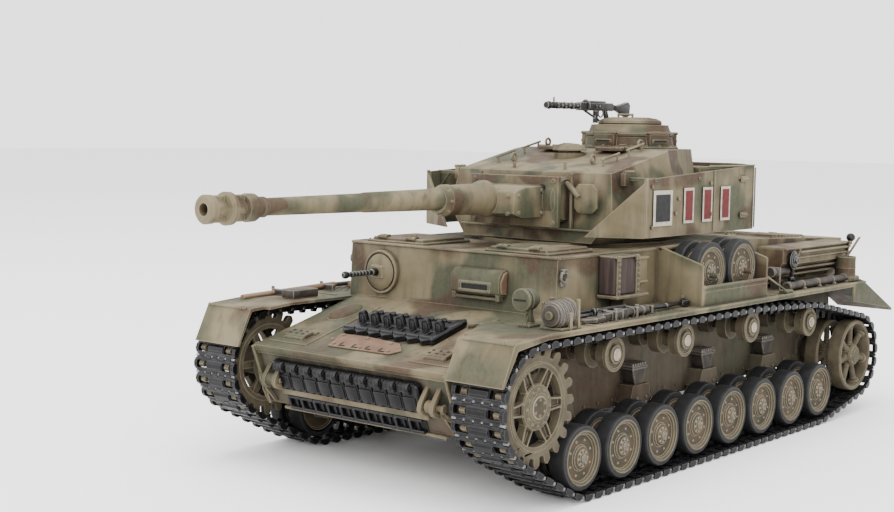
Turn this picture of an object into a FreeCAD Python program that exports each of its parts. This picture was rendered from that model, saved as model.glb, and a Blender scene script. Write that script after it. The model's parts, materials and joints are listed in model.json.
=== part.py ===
import FreeCAD, Part
import math
import os

# Radio-controlled 1/35 scale battle tank: +X is forward, +Y is the tank's left, +Z is up.
# The origin is on the ground, under the middle of the outline. Sizes are in millimetres.

V = FreeCAD.Vector

# ---- running gear -------------------------------------------------------------------------
ROAD_WHEELS = 8              # per side
ROAD_WHEEL_D = 12.8
WHEEL_GAP = 1.57             # between two neighbouring tyres
ROW_CENTRE_X = -10.3         # middle of the row of road wheels
TYRE_W = 3.6
GUIDE_GAP = 2.6              # room for the guide rib between the two tyres of a wheel
TRACK_W = 11.4
TRACK_T = 1.55               # belt thickness with its pads
TRACK_PLAY = 0.2             # between the belt and what runs on it
RIB_H = 1.5                  # guide rib height
RIB_W = 1.2
SPROCKET_TIP_R = 10.2
SPROCKET_TEETH = 20
TOOTH_H = 1.1
IDLER_R = 9.0
IDLER_SPOKES = 7
ROLLER_R = 3.2
ROLLERS_X = (-11.7, -38.4, -67.3, -96.1)      # return rollers, behind the first road wheel
LAST_ROLLER_DROP = 1.5
ROAD_AXLE_R = 1.2
ROLLER_AXLE_R = 1.0
DRIVE_AXLE_R = 1.5
RUNNING_PLAY = 0.05          # radial, axle in its bore
SPROCKET_AHEAD = 15.1        # of the first road wheel
SPROCKET_RISE = 11.95        # above the road wheel axles
IDLER_BEHIND = 19.8
IDLER_RISE = 6.35
ROLLER_RISE = 6.6            # above the sprocket axle

# ---- hull ---------------------------------------------------------------------------------
TUB_HALF = 26.0
TRACK_OFFSET = 3.5           # tub side to the belt's inner edge
WALL = 1.2
BELLY_RISE = 3.65            # belly above the road wheel axles
NOSE_AHEAD = 8.3             # nose edge ahead of the sprocket axle
NOSE_TOP_DROP = 7.7          # nose edge below the fender top
GLACIS_LENGTH = 30.0
REAR_PLATE_BEHIND = 13.4     # behind the idler axle
SUPER_HALF = 28.0
SUPER_HEIGHT = 11.9          # fender top to roof
DECK_DROP = 2.2              # roof to the rear edge of the engine deck
FENDER_T = 0.6
FENDER_GAP = 0.6             # belt to fender
FENDER_EDGE = 0.1            # fender past the belt
LIP_DROP = 0.9               # fender top to the lower edge of its side lip
MUFFLER_R = 3.2
SEAM = 0.02                  # between two shells that meet

# ---- turret and guns ----------------------------------------------------------------------
TURRET_X = -12.0
TURRET_Y = 1.0
RING_R = 20.6                # hole in the roof
RACE_H = 0.7
TURRET_LIFT = 0.9            # turret base above the roof
TURRET_H = 20.1
TURRET_FRONT_H = 15.2
NECK_R = 18.0
GUN_RISE = 9.7               # gun axis above the turret base
TRUNNION_X = 19.5            # ahead of the turret axis
DRUM_R = 4.4
DRUM_HALF = 10.6
DRUM_PLAY = 0.3
SLEEVE_END_X = 50.3
SLEEVE_R = 3.3
BARREL_REACH = 112.3         # turret axis to muzzle
BARREL_REAR_R = 1.95
BARREL_FRONT_R = 1.45
BRAKE_LENGTH = 11.7
BORE_R = 1.0
SKIRT_HALF = 29.9
SKIRT_T = 0.5
SKIRT_LIFT = 1.8
SKIRT_FRONT_X = 18.4
SKIRT_SIDE_END_X = -29.0
SKIRT_REAR_X = -43.5
CUPOLA_X = -20.0
CUPOLA_R = 11.7
CUPOLA_TOP_R = 10.2
CUPOLA_H = 7.2
HATCH_R = 6.6
AA_GUN_L = 34.5

# ---- drive and electrics ------------------------------------------------------------------
FINAL_TEETH = 20
PINION_TEETH = 10
DRIVE_MODULE = 0.38
RING_TEETH = 64
TRAVERSE_TEETH = 12
TRAVERSE_MODULE = 0.6
TOOTH_PLAY = 0.12
GEAR_W = 2.4
MOTOR_R = 5.0
MOTOR_L = 14.0
CELL_R = 5.25
CELL_L = 44.5
CELLS = 4
DOOR_T = 0.9
DOOR_PLAY = 0.15

# ---- places worked out from the sizes above -----------------------------------------------
WHEEL_R = ROAD_WHEEL_D / 2
WHEEL_PITCH = ROAD_WHEEL_D + WHEEL_GAP
FIRST_X = ROW_CENTRE_X + (ROAD_WHEELS - 1) / 2 * WHEEL_PITCH
LAST_X = ROW_CENTRE_X - (ROAD_WHEELS - 1) / 2 * WHEEL_PITCH
AXLE_Z = TRACK_T + TRACK_PLAY + WHEEL_R
SPROCKET_X = FIRST_X + SPROCKET_AHEAD
SPROCKET_Z = AXLE_Z + SPROCKET_RISE
IDLER_X = LAST_X - IDLER_BEHIND
IDLER_Z = AXLE_Z + IDLER_RISE
ROLLER_Z = SPROCKET_Z + ROLLER_RISE
SPROCKET_BELT_R = SPROCKET_TIP_R + TRACK_PLAY - 0.05
TRACK_IN = TUB_HALF + TRACK_OFFSET
TRACK_OUT = TRACK_IN + TRACK_W
TRACK_MID = (TRACK_IN + TRACK_OUT) / 2
TYRE_OUT = TRACK_MID + GUIDE_GAP / 2 + TYRE_W
TYRE_IN = TRACK_MID - GUIDE_GAP / 2 - TYRE_W
FENDER_HALF = TRACK_OUT + FENDER_EDGE
FENDER_Z = SPROCKET_Z + SPROCKET_BELT_R + TRACK_T + FENDER_GAP + FENDER_T
BELLY_Z = AXLE_Z + BELLY_RISE
NOSE_X = SPROCKET_X + NOSE_AHEAD
NOSE_TOP_Z = FENDER_Z - NOSE_TOP_DROP
NOSE_FOOT_X = NOSE_X - 5.1
FRONT_PLATE_X = NOSE_X - GLACIS_LENGTH
REAR_PLATE_X = IDLER_X - REAR_PLATE_BEHIND
ROOF_Z = FENDER_Z + SUPER_HEIGHT
TURRET_Z = ROOF_Z + TURRET_LIFT
GUN_Z = TURRET_Z + GUN_RISE
TURRET_TOP_Z = TURRET_Z + TURRET_H
GUN_PIVOT_X = TURRET_X + TRUNNION_X
MUZZLE_X = TURRET_X + BARREL_REACH
CUPOLA_CX = TURRET_X + CUPOLA_X
CUPOLA_CY = TURRET_Y + 1.0
CUPOLA_TOP_Z = TURRET_TOP_Z + CUPOLA_H


# ---- helpers ------------------------------------------------------------------------------
def box(x0, x1, y0, y1, z0, z1):
    return Part.makeBox(x1 - x0, y1 - y0, z1 - z0, V(x0, y0, z0))


def rod_x(x0, x1, y, z, r):
    return Part.makeCylinder(r, x1 - x0, V(x0, y, z), V(1, 0, 0))


def rod_y(x, z, y0, y1, r):
    return Part.makeCylinder(r, y1 - y0, V(x, y0, z), V(0, 1, 0))


def rod_z(x, y, z0, z1, r):
    return Part.makeCylinder(r, z1 - z0, V(x, y, z0), V(0, 0, 1))


def bar(start, end, r):
    line = V(*end) - V(*start)
    return Part.makeCylinder(r, line.Length, V(*start), line)


def prism(points, travel):
    wire = Part.makePolygon(points + [points[0]])
    return Part.Face(wire).extrude(travel)


def side_prism(outline, y0, y1):
    """Outline of (x, z) points, carried from y0 to y1."""
    return prism([V(x, y0, z) for x, z in outline], V(0, y1 - y0, 0))


def plan_prism(outline, z0, z1):
    """Outline of (x, y) points, carried from z0 to z1."""
    return prism([V(x, y, z0) for x, y in outline], V(0, 0, z1 - z0))


def fuse(shapes):
    joined = shapes[0].multiFuse(shapes[1:]) if len(shapes) > 1 else shapes[0]
    return joined.removeSplitter()


def mirrored(shape):
    return shape.mirror(V(0, 0, 0), V(0, 1, 0))


def both_sides(shapes):
    return shapes + [mirrored(shape) for shape in shapes]


def turned_ring(profile, x, z):
    """Solid of revolution about a crosswise axis at (x, z), from (radius, y) points."""
    points = [V(x + r, y, z) for r, y in profile]
    face = Part.Face(Part.makePolygon(points + [points[0]]))
    return face.revolve(V(x, 0, z), V(0, 1, 0), 360)


def around(shape, x, z, count, start=0.0):
    """Copies of a shape spread evenly about a crosswise axis at (x, z)."""
    copies = []
    for i in range(count):
        copy = shape.copy()
        copy.rotate(V(x, 0, z), V(0, 1, 0), start + 360.0 * i / count)
        copies.append(copy)
    return copies


def write(name, solids):
    shape = solids[0] if len(solids) == 1 else Part.makeCompound(solids)
    shape.exportStep("parts/%s.step" % name)


# ---- gears --------------------------------------------------------------------------------
PRESSURE = math.radians(20)
FLANK_STEPS = 4


def gear_outline(teeth, module, turn):
    """Involute tooth outline as (a, b) points; the first tooth points along angle turn."""
    pitch_r = module * teeth / 2
    base_r = pitch_r * math.cos(PRESSURE)
    tip_r = pitch_r + 0.85 * module
    root_r = pitch_r - 1.25 * module
    low_r = max(base_r, root_r)
    half = math.pi / (2 * teeth) - TOOTH_PLAY / (2 * pitch_r)
    roll = math.tan(PRESSURE) - PRESSURE
    flank = []
    for step in range(FLANK_STEPS + 1):
        r = low_r + (tip_r - low_r) * step / FLANK_STEPS
        slope = math.acos(min(1.0, base_r / r))
        flank.append((r, half + roll - (math.tan(slope) - slope)))
    if root_r < low_r:
        flank.insert(0, (root_r, flank[0][1]))
    points = []
    for tooth in range(teeth):
        centre = turn + 2 * math.pi * tooth / teeth
        for r, angle in flank:
            points.append((r * math.cos(centre - angle), r * math.sin(centre - angle)))
        for r, angle in reversed(flank):
            points.append((r * math.cos(centre + angle), r * math.sin(centre + angle)))
    return points


def gear_y(x, z, y0, y1, teeth, module, turn):
    outline = gear_outline(teeth, module, turn)
    return side_prism([(x + a, z + b) for a, b in outline], y0, y1)


def gear_z(x, y, z0, z1, teeth, module, turn):
    outline = gear_outline(teeth, module, turn)
    return plan_prism([(x + a, y + b) for a, b in outline], z0, z1)


FINAL_PITCH_R = DRIVE_MODULE * FINAL_TEETH / 2
PINION_PITCH_R = DRIVE_MODULE * PINION_TEETH / 2
PINION_X = SPROCKET_X - FINAL_PITCH_R - PINION_PITCH_R
RING_PITCH_R = TRAVERSE_MODULE * RING_TEETH / 2
TRAVERSE_PITCH_R = TRAVERSE_MODULE * TRAVERSE_TEETH / 2
TRAVERSE_X = TURRET_X + RING_PITCH_R + TRAVERSE_PITCH_R
RING_GEAR_Z = ROOF_Z - WALL - 1.0 - GEAR_W
FINAL_GEAR_Y = TUB_HALF - WALL - 1.6 - GEAR_W


# ---- track --------------------------------------------------------------------------------
def belt_circles(offset):
    """Centre and radius of what the belt bends round, from the idler forward under the tank."""
    wheel = WHEEL_R + TRACK_PLAY + offset
    roller = ROLLER_R + TRACK_PLAY + offset
    return [
        (IDLER_X, IDLER_Z, IDLER_R + TRACK_PLAY + offset),
        (LAST_X, AXLE_Z, wheel),
        (FIRST_X, AXLE_Z, wheel),
        (SPROCKET_X, SPROCKET_Z, SPROCKET_BELT_R + offset),
        (FIRST_X + ROLLERS_X[0], ROLLER_Z, roller),
        (FIRST_X + ROLLERS_X[2], ROLLER_Z, roller),
        (FIRST_X + ROLLERS_X[3], ROLLER_Z - LAST_ROLLER_DROP, roller),
    ]


def belt_normals(circles):
    """Outward direction of each straight run, from one circle to the next."""
    normals = []
    for (x1, z1, r1), (x2, z2, r2) in zip(circles, circles[1:] + circles[:1]):
        span = math.hypot(x2 - x1, z2 - z1)
        heading = math.atan2(z2 - z1, x2 - x1)
        normals.append(heading - math.acos((r1 - r2) / span))
    return normals


def touched(circles):
    """The circles that a tight belt really bends round, with the direction of each run."""
    while True:
        normals = belt_normals(circles)
        turns = [(normals[i] - normals[i - 1]) % (2 * math.pi) for i in range(len(circles))]
        kept = [circle for circle, turn in zip(circles, turns) if 1e-6 < turn < math.pi * 1.5]
        if len(kept) == len(circles):
            return circles, normals
        circles = kept


def belt_face(offset, y):
    """Flat face inside a belt that is stretched round the wheels, at height offset on them."""
    circles, normals = touched(belt_circles(offset))
    edges = []
    for i, (x, z, r) in enumerate(circles):
        arrive = normals[i - 1]
        leave = normals[i]
        while leave < arrive:
            leave += 2 * math.pi
        middle = (arrive + leave) / 2
        ends = [V(x + r * math.cos(a), y, z + r * math.sin(a)) for a in (arrive, middle, leave)]
        edges.append(Part.Arc(*ends).toShape())
        nx, nz, nr = circles[(i + 1) % len(circles)]
        away = V(nx + nr * math.cos(normals[i]), y, nz + nr * math.sin(normals[i]))
        edges.append(Part.LineSegment(ends[2], away).toShape())
    return Part.Face(Part.Wire(edges))


def belt_band(inner, outer, y0, y1):
    travel = V(0, y1 - y0, 0)
    return belt_face(outer, y0).extrude(travel).cut(belt_face(inner, y0).extrude(travel))


def make_tracks():
    """Closed belt with its guide rib, one on each side."""
    band = belt_band(0, TRACK_T, TRACK_IN, TRACK_OUT)
    rib = belt_band(-RIB_H, 0.1, TRACK_MID - RIB_W / 2, TRACK_MID + RIB_W / 2)
    return both_sides([fuse([band, rib])])


# ---- wheels, modelled on the tank's left --------------------------------------------------
def road_wheel(x):
    bore = ROAD_AXLE_R + RUNNING_PLAY
    neck = WHEEL_R - RIB_H - 0.6
    gap_in = TRACK_MID - GUIDE_GAP / 2
    gap_out = TRACK_MID + GUIDE_GAP / 2
    profile = [
        (bore, TYRE_IN), (WHEEL_R - 0.25, TYRE_IN), (WHEEL_R, TYRE_IN + 0.25),
        (WHEEL_R, gap_in - 0.25), (WHEEL_R - 0.25, gap_in), (neck, gap_in),
        (neck, gap_out), (WHEEL_R - 0.25, gap_out), (WHEEL_R, gap_out + 0.25),
        (WHEEL_R, TYRE_OUT - 0.25), (WHEEL_R - 0.25, TYRE_OUT), (WHEEL_R - 1.15, TYRE_OUT),
        (WHEEL_R - 1.6, TYRE_OUT - 0.9), (2.7, TYRE_OUT - 0.9), (2.4, TYRE_OUT - 0.1),
        (1.9, TYRE_OUT + 0.45), (0, TYRE_OUT + 0.45), (0, TYRE_OUT - 0.7), (bore, TYRE_OUT - 0.7),
    ]
    return turned_ring(profile, x, AXLE_Z)


def return_roller(x, z):
    bore = ROLLER_AXLE_R + RUNNING_PLAY
    groove = ROLLER_R - RIB_H - 0.05
    gap_in = TRACK_MID - GUIDE_GAP / 2
    gap_out = TRACK_MID + GUIDE_GAP / 2
    end = TYRE_OUT - 0.6
    start = gap_in - 2.4
    profile = [
        (bore, start), (ROLLER_R, start), (ROLLER_R, gap_in), (groove, gap_in),
        (groove, gap_out), (ROLLER_R, gap_out), (ROLLER_R, end - 0.9), (ROLLER_R - 0.6, end - 0.9),
        (ROLLER_R - 0.9, end), (0, end), (0, end - 1.2), (bore, end - 1.2),
    ]
    return turned_ring(profile, x, z)


def tooth_ring(x, z, y0, y1, inner_r, turn):
    """Toothed drive ring: flat root circle with blunt teeth."""
    root_r = SPROCKET_TIP_R - TOOTH_H
    step = 2 * math.pi / SPROCKET_TEETH
    outline = []
    for i in range(SPROCKET_TEETH):
        centre = turn + i * step
        for r, share in ((root_r, -0.27), (SPROCKET_TIP_R, -0.12), (SPROCKET_TIP_R, 0.12), (root_r, 0.27)):
            angle = centre + share * step
            outline.append((x + r * math.cos(angle), z + r * math.sin(angle)))
    ring = side_prism(outline, y0, y1)
    return ring.cut(rod_y(x, z, y0 - 1, y1 + 1, inner_r))


def sprocket():
    """Drive sprocket with its axle and final gear, as three solids that turn together."""
    x, z = SPROCKET_X, SPROCKET_Z
    ring_w = 1.3
    rim_r = SPROCKET_TIP_R - 2.9
    outer = tooth_ring(x, z, TYRE_OUT - ring_w, TYRE_OUT, rim_r, 0)
    inner = tooth_ring(x, z, TYRE_IN + 0.7, TYRE_IN + 0.7 + ring_w, rim_r, 0)
    hub = turned_ring([
        (0, TYRE_OUT + 0.5), (2.2, TYRE_OUT + 0.5), (2.6, TYRE_OUT - 0.1), (4.0, TYRE_OUT - 0.3),
        (4.4, TYRE_OUT - 1.3), (3.2, TYRE_OUT - 2.2), (3.2, TYRE_IN + 0.7), (0, TYRE_IN + 0.7)], x, z)
    spoke = box(x + 2.8, x + rim_r + 0.4, TYRE_OUT - 1.2, TYRE_OUT - 0.2, z - 0.8, z + 0.8)
    back_spoke = spoke.translated(V(0, TYRE_IN + 0.8 - (TYRE_OUT - 1.2), 0))
    wheel = fuse([hub, outer, inner] + around(spoke, x, z, 6) + around(back_spoke, x, z, 6))
    inner_y = FINAL_GEAR_Y - 1.4
    axle = rod_y(x, z, inner_y, TYRE_IN + 0.7, DRIVE_AXLE_R)
    gear = gear_y(x, z, FINAL_GEAR_Y, FINAL_GEAR_Y + GEAR_W, FINAL_TEETH, DRIVE_MODULE, math.pi)
    gear = gear.cut(rod_y(x, z, FINAL_GEAR_Y - 1, FINAL_GEAR_Y + GEAR_W + 1, DRIVE_AXLE_R))
    return [wheel, axle, gear]


def idler():
    x, z = IDLER_X, IDLER_Z
    bore = DRIVE_AXLE_R + RUNNING_PLAY
    gap_in = TRACK_MID - GUIDE_GAP / 2
    gap_out = TRACK_MID + GUIDE_GAP / 2
    rim_r = IDLER_R - 1.3
    outer = turned_ring([(rim_r, gap_out), (IDLER_R, gap_out), (IDLER_R, TYRE_OUT), (rim_r, TYRE_OUT)], x, z)
    inner = turned_ring([(rim_r, TYRE_IN), (IDLER_R, TYRE_IN), (IDLER_R, gap_in), (rim_r, gap_in)], x, z)
    hub = turned_ring([(bore, TYRE_IN), (2.6, TYRE_IN), (2.6, TYRE_OUT - 0.2), (2.0, TYRE_OUT + 0.4),
                       (0, TYRE_OUT + 0.4), (0, TYRE_OUT - 0.8), (bore, TYRE_OUT - 0.8)], x, z)
    reach = rim_r + 0.3
    out_y = (gap_out + TYRE_OUT) / 2
    in_y = (gap_in + TYRE_IN) / 2
    spokes = [rod_x(x + 2.2, x + reach, y, z, 0.75) for y in (out_y, in_y)]
    arms = []
    for spoke in spokes:
        arms += around(spoke, x, z, IDLER_SPOKES, 90)
    return fuse([outer, inner, hub] + arms)


def motor_pinion():
    x, z = PINION_X, SPROCKET_Z
    gear = gear_y(x, z, FINAL_GEAR_Y, FINAL_GEAR_Y + GEAR_W, PINION_TEETH, DRIVE_MODULE,
                  math.pi / PINION_TEETH)
    shaft = rod_y(x, z, FINAL_GEAR_Y - 2.4, FINAL_GEAR_Y, 0.6)
    return fuse([gear, shaft])


# ---- hull ---------------------------------------------------------------------------------
SEAM_Z = FENDER_Z - FENDER_T - 0.2
GLACIS_RUN_Z = FENDER_Z + 0.2


def hull_outline(inset):
    """Side outline of the whole hull below the superstructure, drawn in by a wall."""
    return [
        (NOSE_FOOT_X - inset, BELLY_Z + 1.0 + inset), (NOSE_X - inset, NOSE_TOP_Z - inset * 0.4),
        (FRONT_PLATE_X, GLACIS_RUN_Z - inset), (REAR_PLATE_X + inset, GLACIS_RUN_Z - inset),
        (REAR_PLATE_X + inset, BELLY_Z + 8.0), (REAR_PLATE_X + 9.0 + inset, BELLY_Z + inset),
        (NOSE_FOOT_X - 6.0, BELLY_Z + inset),
    ]


def seam_line(offset):
    """Where the lower and upper hull meet, as a (x, z) line from the nose to the rear plate."""
    return [(NOSE_X + 1, NOSE_TOP_Z - 1.4 + offset), (NOSE_X - 3, NOSE_TOP_Z - 1.4 + offset),
            (FRONT_PLATE_X, SEAM_Z + offset), (REAR_PLATE_X - 1, SEAM_Z + offset)]


def below_seam():
    low = BELLY_Z - 5
    outline = seam_line(0) + [(REAR_PLATE_X - 1, low), (NOSE_X + 1, low)]
    return side_prism(outline, -FENDER_HALF, FENDER_HALF)


def above_seam():
    high = ROOF_Z + 5
    outline = seam_line(SEAM) + [(REAR_PLATE_X - 1, high), (NOSE_X + 1, high)]
    return side_prism(outline, -FENDER_HALF, FENDER_HALF)


DOOR_HALF_Y = CELLS * CELL_R + 0.9      # half width of the battery opening
RAIL_Y = DOOR_HALF_Y + 1.3              # rails that the battery door slides between
DOOR_X0 = TURRET_X - CELL_L - 1.0
DOOR_X1 = TURRET_X + 1.0
SWITCH_X = TURRET_X + 12.0
SWITCH_TRAVEL = 3.0
SWITCH_SLOT = 1.0
KNOB_HALF = 1.4
SCREW_R = 1.0
SCREWS_X = (FIRST_X - 12.0, REAR_PLATE_X + 14.0)
SCREW_Y = TUB_HALF - WALL - 3.0


def make_lower_hull():
    """Tub with its axle stubs, drive housings, screw posts, battery opening and door rails."""
    half = TUB_HALF
    tub = side_prism(hull_outline(0), -half, half)
    tub = tub.cut(side_prism(hull_outline(WALL), -half + WALL, half - WALL)).common(below_seam())
    back_x = REAR_PLATE_X + WALL
    lip_x = NOSE_X - 2.9
    mouth = [(lip_x, NOSE_TOP_Z - 2.9), (FRONT_PLATE_X, SEAM_Z - 1.5), (back_x, SEAM_Z - 1.5),
             (back_x, SEAM_Z + 5), (lip_x, SEAM_Z + 5)]
    tub = tub.cut(side_prism(mouth, -half + WALL, half - WALL))
    stubs = []
    for i, behind in enumerate(ROLLERS_X):
        z = ROLLER_Z - (LAST_ROLLER_DROP if i == len(ROLLERS_X) - 1 else 0)
        x = FIRST_X + behind
        stubs.append(rod_y(x, z, half - 0.5, TYRE_OUT - 2.1, ROLLER_AXLE_R))
        stubs.append(rod_y(x, z, half - 0.5, TRACK_IN - 0.6, 2.3))
    stubs.append(rod_y(IDLER_X, IDLER_Z, half - 0.5, TYRE_OUT - 1.1, DRIVE_AXLE_R))
    stubs.append(rod_y(IDLER_X, IDLER_Z, half - 0.5, TYRE_IN - 0.5, 3.4))
    stubs.append(rod_y(SPROCKET_X, SPROCKET_Z, half - 0.5, TYRE_IN - 0.3, 5.2))
    for x in SCREWS_X:
        stubs.append(rod_z(x, SCREW_Y, BELLY_Z + 0.5, SEAM_Z - 6.0, 2.2))
    tub = fuse([tub] + both_sides(stubs))
    shaft_hole = rod_y(SPROCKET_X, SPROCKET_Z, half - WALL - 1, TYRE_IN + 1, DRIVE_AXLE_R + RUNNING_PLAY)
    screw_holes = [rod_z(x, SCREW_Y, BELLY_Z - 1, SEAM_Z - 5, SCREW_R) for x in SCREWS_X]
    cuts = both_sides([shaft_hole] + screw_holes)
    cuts.append(box(DOOR_X0, DOOR_X1, -DOOR_HALF_Y, DOOR_HALF_Y, BELLY_Z - 1, BELLY_Z + WALL + 1))
    cuts.append(box(SWITCH_X - KNOB_HALF - DOOR_PLAY, SWITCH_X + KNOB_HALF + SWITCH_TRAVEL + DOOR_PLAY,
                    -SWITCH_SLOT, SWITCH_SLOT, BELLY_Z - 1, BELLY_Z + WALL + 1))
    for cutter in cuts:
        tub = tub.cut(cutter)
    rail_back = DOOR_X0 - (DOOR_X1 - DOOR_X0) * 0.35
    rail = box(rail_back, DOOR_X1, RAIL_Y, RAIL_Y + 0.8, BELLY_Z - DOOR_T - DOOR_PLAY, BELLY_Z + 0.1)
    return [fuse([tub] + both_sides([rail]))]


def intake_box():
    """Flared cooling air intake over the fender, beside the engine deck."""
    x0 = REAR_PLATE_X + 9.0
    x1 = x0 + 36.0
    top = ROOF_Z - DECK_DROP - 0.2
    y0 = SUPER_HALF - 0.5
    outer = [V(x0, y0, FENDER_Z + 1.0), V(x0, y0 + 3.2, FENDER_Z + 1.0),
             V(x0, y0 + 7.6, top - 3.4), V(x0, y0 + 7.6, top), V(x0, y0, top)]
    hood = prism(outer, V(x1 - x0, 0, 0))
    room = [V(x0 + 0.8, y0 + 0.9, FENDER_Z), V(x0 + 0.8, y0 + 2.6, FENDER_Z),
            V(x0 + 0.8, y0 + 6.8, top - 3.4), V(x0 + 0.8, y0 + 6.8, top - 0.9),
            V(x0 + 0.8, y0 + 0.9, top - 0.9)]
    return hood.cut(prism(room, V(x1 - x0 - 1.6, 0, 0)))


def make_upper_hull():
    """Glacis, superstructure with the turret ring, engine deck and cooling air intakes."""
    half = TUB_HALF
    nose = side_prism(hull_outline(0), -half, half)
    nose = nose.cut(side_prism(hull_outline(WALL), -half + WALL, half - WALL)).common(above_seam())
    front = FRONT_PLATE_X
    deck_x = TURRET_X - 33.0
    rear = REAR_PLATE_X

    def casemate(inset, floor):
        low = SEAM_Z + SEAM + floor
        return [(front - inset, low), (front - inset - 0.6, ROOF_Z - inset), (deck_x, ROOF_Z - inset),
                (rear + inset - 2.0, ROOF_Z - DECK_DROP - inset), (rear + inset, low)]

    shell = side_prism(casemate(0, 0), -SUPER_HALF, SUPER_HALF)
    room = side_prism(casemate(WALL, WALL), -SUPER_HALF + WALL, SUPER_HALF - WALL)
    under = box(rear + WALL, front - WALL, -half + WALL, half - WALL, SEAM_Z - 1, SEAM_Z + WALL + 1)
    ring = rod_z(TURRET_X, TURRET_Y, ROOF_Z - 0.2, ROOF_Z + RACE_H, RING_R + 2.0)
    parts = [shell, nose, ring] + both_sides([intake_box()])
    body = fuse(parts).cut(room).cut(under)
    body = body.cut(rod_z(TURRET_X, TURRET_Y, ROOF_Z - WALL - 1, ROOF_Z + RACE_H + 1, RING_R))
    return [body.removeSplitter()]


def fender():
    """Left fender: flat run, eased front, steep front flap and sloping rear flap."""
    x_ease = SPROCKET_X - 1.9
    x_fold = SPROCKET_X + 8.1
    foot = (SPROCKET_X + 11.7, FENDER_Z - 8.2)
    top = [(foot[0], foot[1]), (x_fold, FENDER_Z - 0.75), (x_ease, FENDER_Z)]
    back_fold = (IDLER_X - 1.6, FENDER_Z)
    back_foot = (IDLER_X - 19.2, FENDER_Z - 8.2)
    line = top + [back_fold, back_foot]
    under = [(back_foot[0] + 0.15, back_foot[1] - FENDER_T), (back_fold[0] + 0.15, FENDER_Z - FENDER_T),
             (x_ease - 0.1, FENDER_Z - FENDER_T), (x_fold - 0.4, FENDER_Z - 0.75 - FENDER_T),
             (foot[0] - FENDER_T, foot[1])]
    plate = side_prism(line + under, TUB_HALF, FENDER_HALF)
    plate = plate.cut(box(FRONT_PLATE_X - WALL, NOSE_X + 6, 0, TUB_HALF + 0.02, 0, ROOF_Z))
    inner = TUB_HALF + 1.8
    plate = plate.cut(box(NOSE_X - 4.0, NOSE_X + 9, 0, inner, 0, FENDER_Z + 2))
    keep_out = box(REAR_PLATE_X - 3, FRONT_PLATE_X + SEAM, 0, SUPER_HALF + SEAM, SEAM_Z, ROOF_Z)
    plate = plate.cut(keep_out)
    lip_t = 0.45
    lip = box(back_fold[0], x_ease, FENDER_HALF - lip_t, FENDER_HALF, FENDER_Z - LIP_DROP, FENDER_Z)
    cheek_x = back_fold[0] + 6.0
    cheek = side_prism([back_fold, back_foot, (cheek_x, FENDER_Z - 4.6), (cheek_x, FENDER_Z)],
                       FENDER_HALF - lip_t, FENDER_HALF)
    front_cheek = side_prism([(x_ease, FENDER_Z - LIP_DROP), (x_ease, FENDER_Z), (x_fold, FENDER_Z - 0.75),
                              foot, (foot[0] - 0.6, foot[1]), (x_fold - 0.9, FENDER_Z - 2.0)],
                             FENDER_HALF - lip_t, FENDER_HALF)
    return fuse([plate, lip, cheek, front_cheek])


def suspension_unit(x0, x1):
    """Leaf spring bogie for two road wheels: bracket, spring leaves, arms and axle pins."""
    mid = (x0 + x1) / 2
    y0 = TUB_HALF + 0.02
    y1 = TYRE_IN - 0.4
    bracket = side_prism([(mid - 4.2, BELLY_Z + 1.0), (mid + 4.2, BELLY_Z + 1.0), (mid + 3.0, AXLE_Z + 8.4),
                          (mid - 3.0, AXLE_Z + 8.4)], y0, y1)
    arms = []
    for x in (x0, x1):
        toward = 1 if x > mid else -1
        arm = side_prism([(mid + toward * 1.0, BELLY_Z + 3.4), (mid + toward * 1.0, BELLY_Z + 0.6),
                          (x - toward * 1.4, AXLE_Z - 1.8), (x + toward * 1.6, AXLE_Z - 1.6),
                          (x + toward * 1.6, AXLE_Z + 1.6), (x - toward * 0.6, AXLE_Z + 2.2)], y0 + 0.6, y1)
        arms.append(arm)
        arms.append(rod_y(x, AXLE_Z, y0 + 0.6, TYRE_OUT - 0.9, ROAD_AXLE_R))
    leaves = []
    for i in range(4):
        reach = WHEEL_PITCH / 2 - 0.4 - 0.9 * i
        z = AXLE_Z + 2.0 + 0.55 * i
        leaves.append(box(mid - reach, mid + reach, y0 + 0.8, y1, z, z + 0.5))
    stop = side_prism([(mid - 1.2, AXLE_Z + 8.0), (mid + 1.2, AXLE_Z + 8.0), (mid + 2.4, AXLE_Z + 12.2),
                       (mid - 2.4, AXLE_Z + 12.2)], y0, y0 + 2.6)
    return fuse([bracket, stop] + arms + leaves)


def make_suspension():
    units = []
    for pair in range(ROAD_WHEELS // 2):
        front = FIRST_X - 2 * pair * WHEEL_PITCH
        units.append(suspension_unit(front - WHEEL_PITCH, front))
    return both_sides(units)


def make_front_plate_fittings():
    """Driver's visor block and the bow machine gun in its round mount."""
    x = FRONT_PLATE_X
    mid_z = (FENDER_Z + ROOF_Z) / 2
    visor = side_prism([(x + 0.02, mid_z - 2.8), (x + 2.0, mid_z - 2.4), (x + 2.0, mid_z + 0.4),
                        (x + 0.9, mid_z + 3.0), (x - 0.3, mid_z + 3.2)], 3.0, 16.0)
    slit = box(x + 1.2, x + 3.0, 6.2, 12.8, mid_z - 1.3, mid_z - 0.3)
    visor = visor.cut(slit)
    visor = visor.cut(plate_room())
    mount_y = -18.4
    disc = rod_x(x - 0.2, x + 1.1, mount_y, mid_z, 4.7).cut(plate_room())
    ball = Part.makeSphere(2.6, V(x + 0.9, mount_y, mid_z))
    ball = ball.cut(box(x - 9, x + 0.9, mount_y - 5, mount_y + 5, mid_z - 5, mid_z + 5))
    gun = rod_x(x + 2.6, x + 12.4, mount_y, mid_z, 0.55)
    return [visor, fuse([disc, ball, gun])]


def plate_room():
    """Space taken by the superstructure behind its leaning front plate."""
    x = FRONT_PLATE_X
    outline = [(x + 0.01, SEAM_Z), (x - 0.59, ROOF_Z), (x - 20, ROOF_Z), (x - 20, SEAM_Z)]
    return side_prism(outline, -FENDER_HALF, FENDER_HALF)


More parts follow.
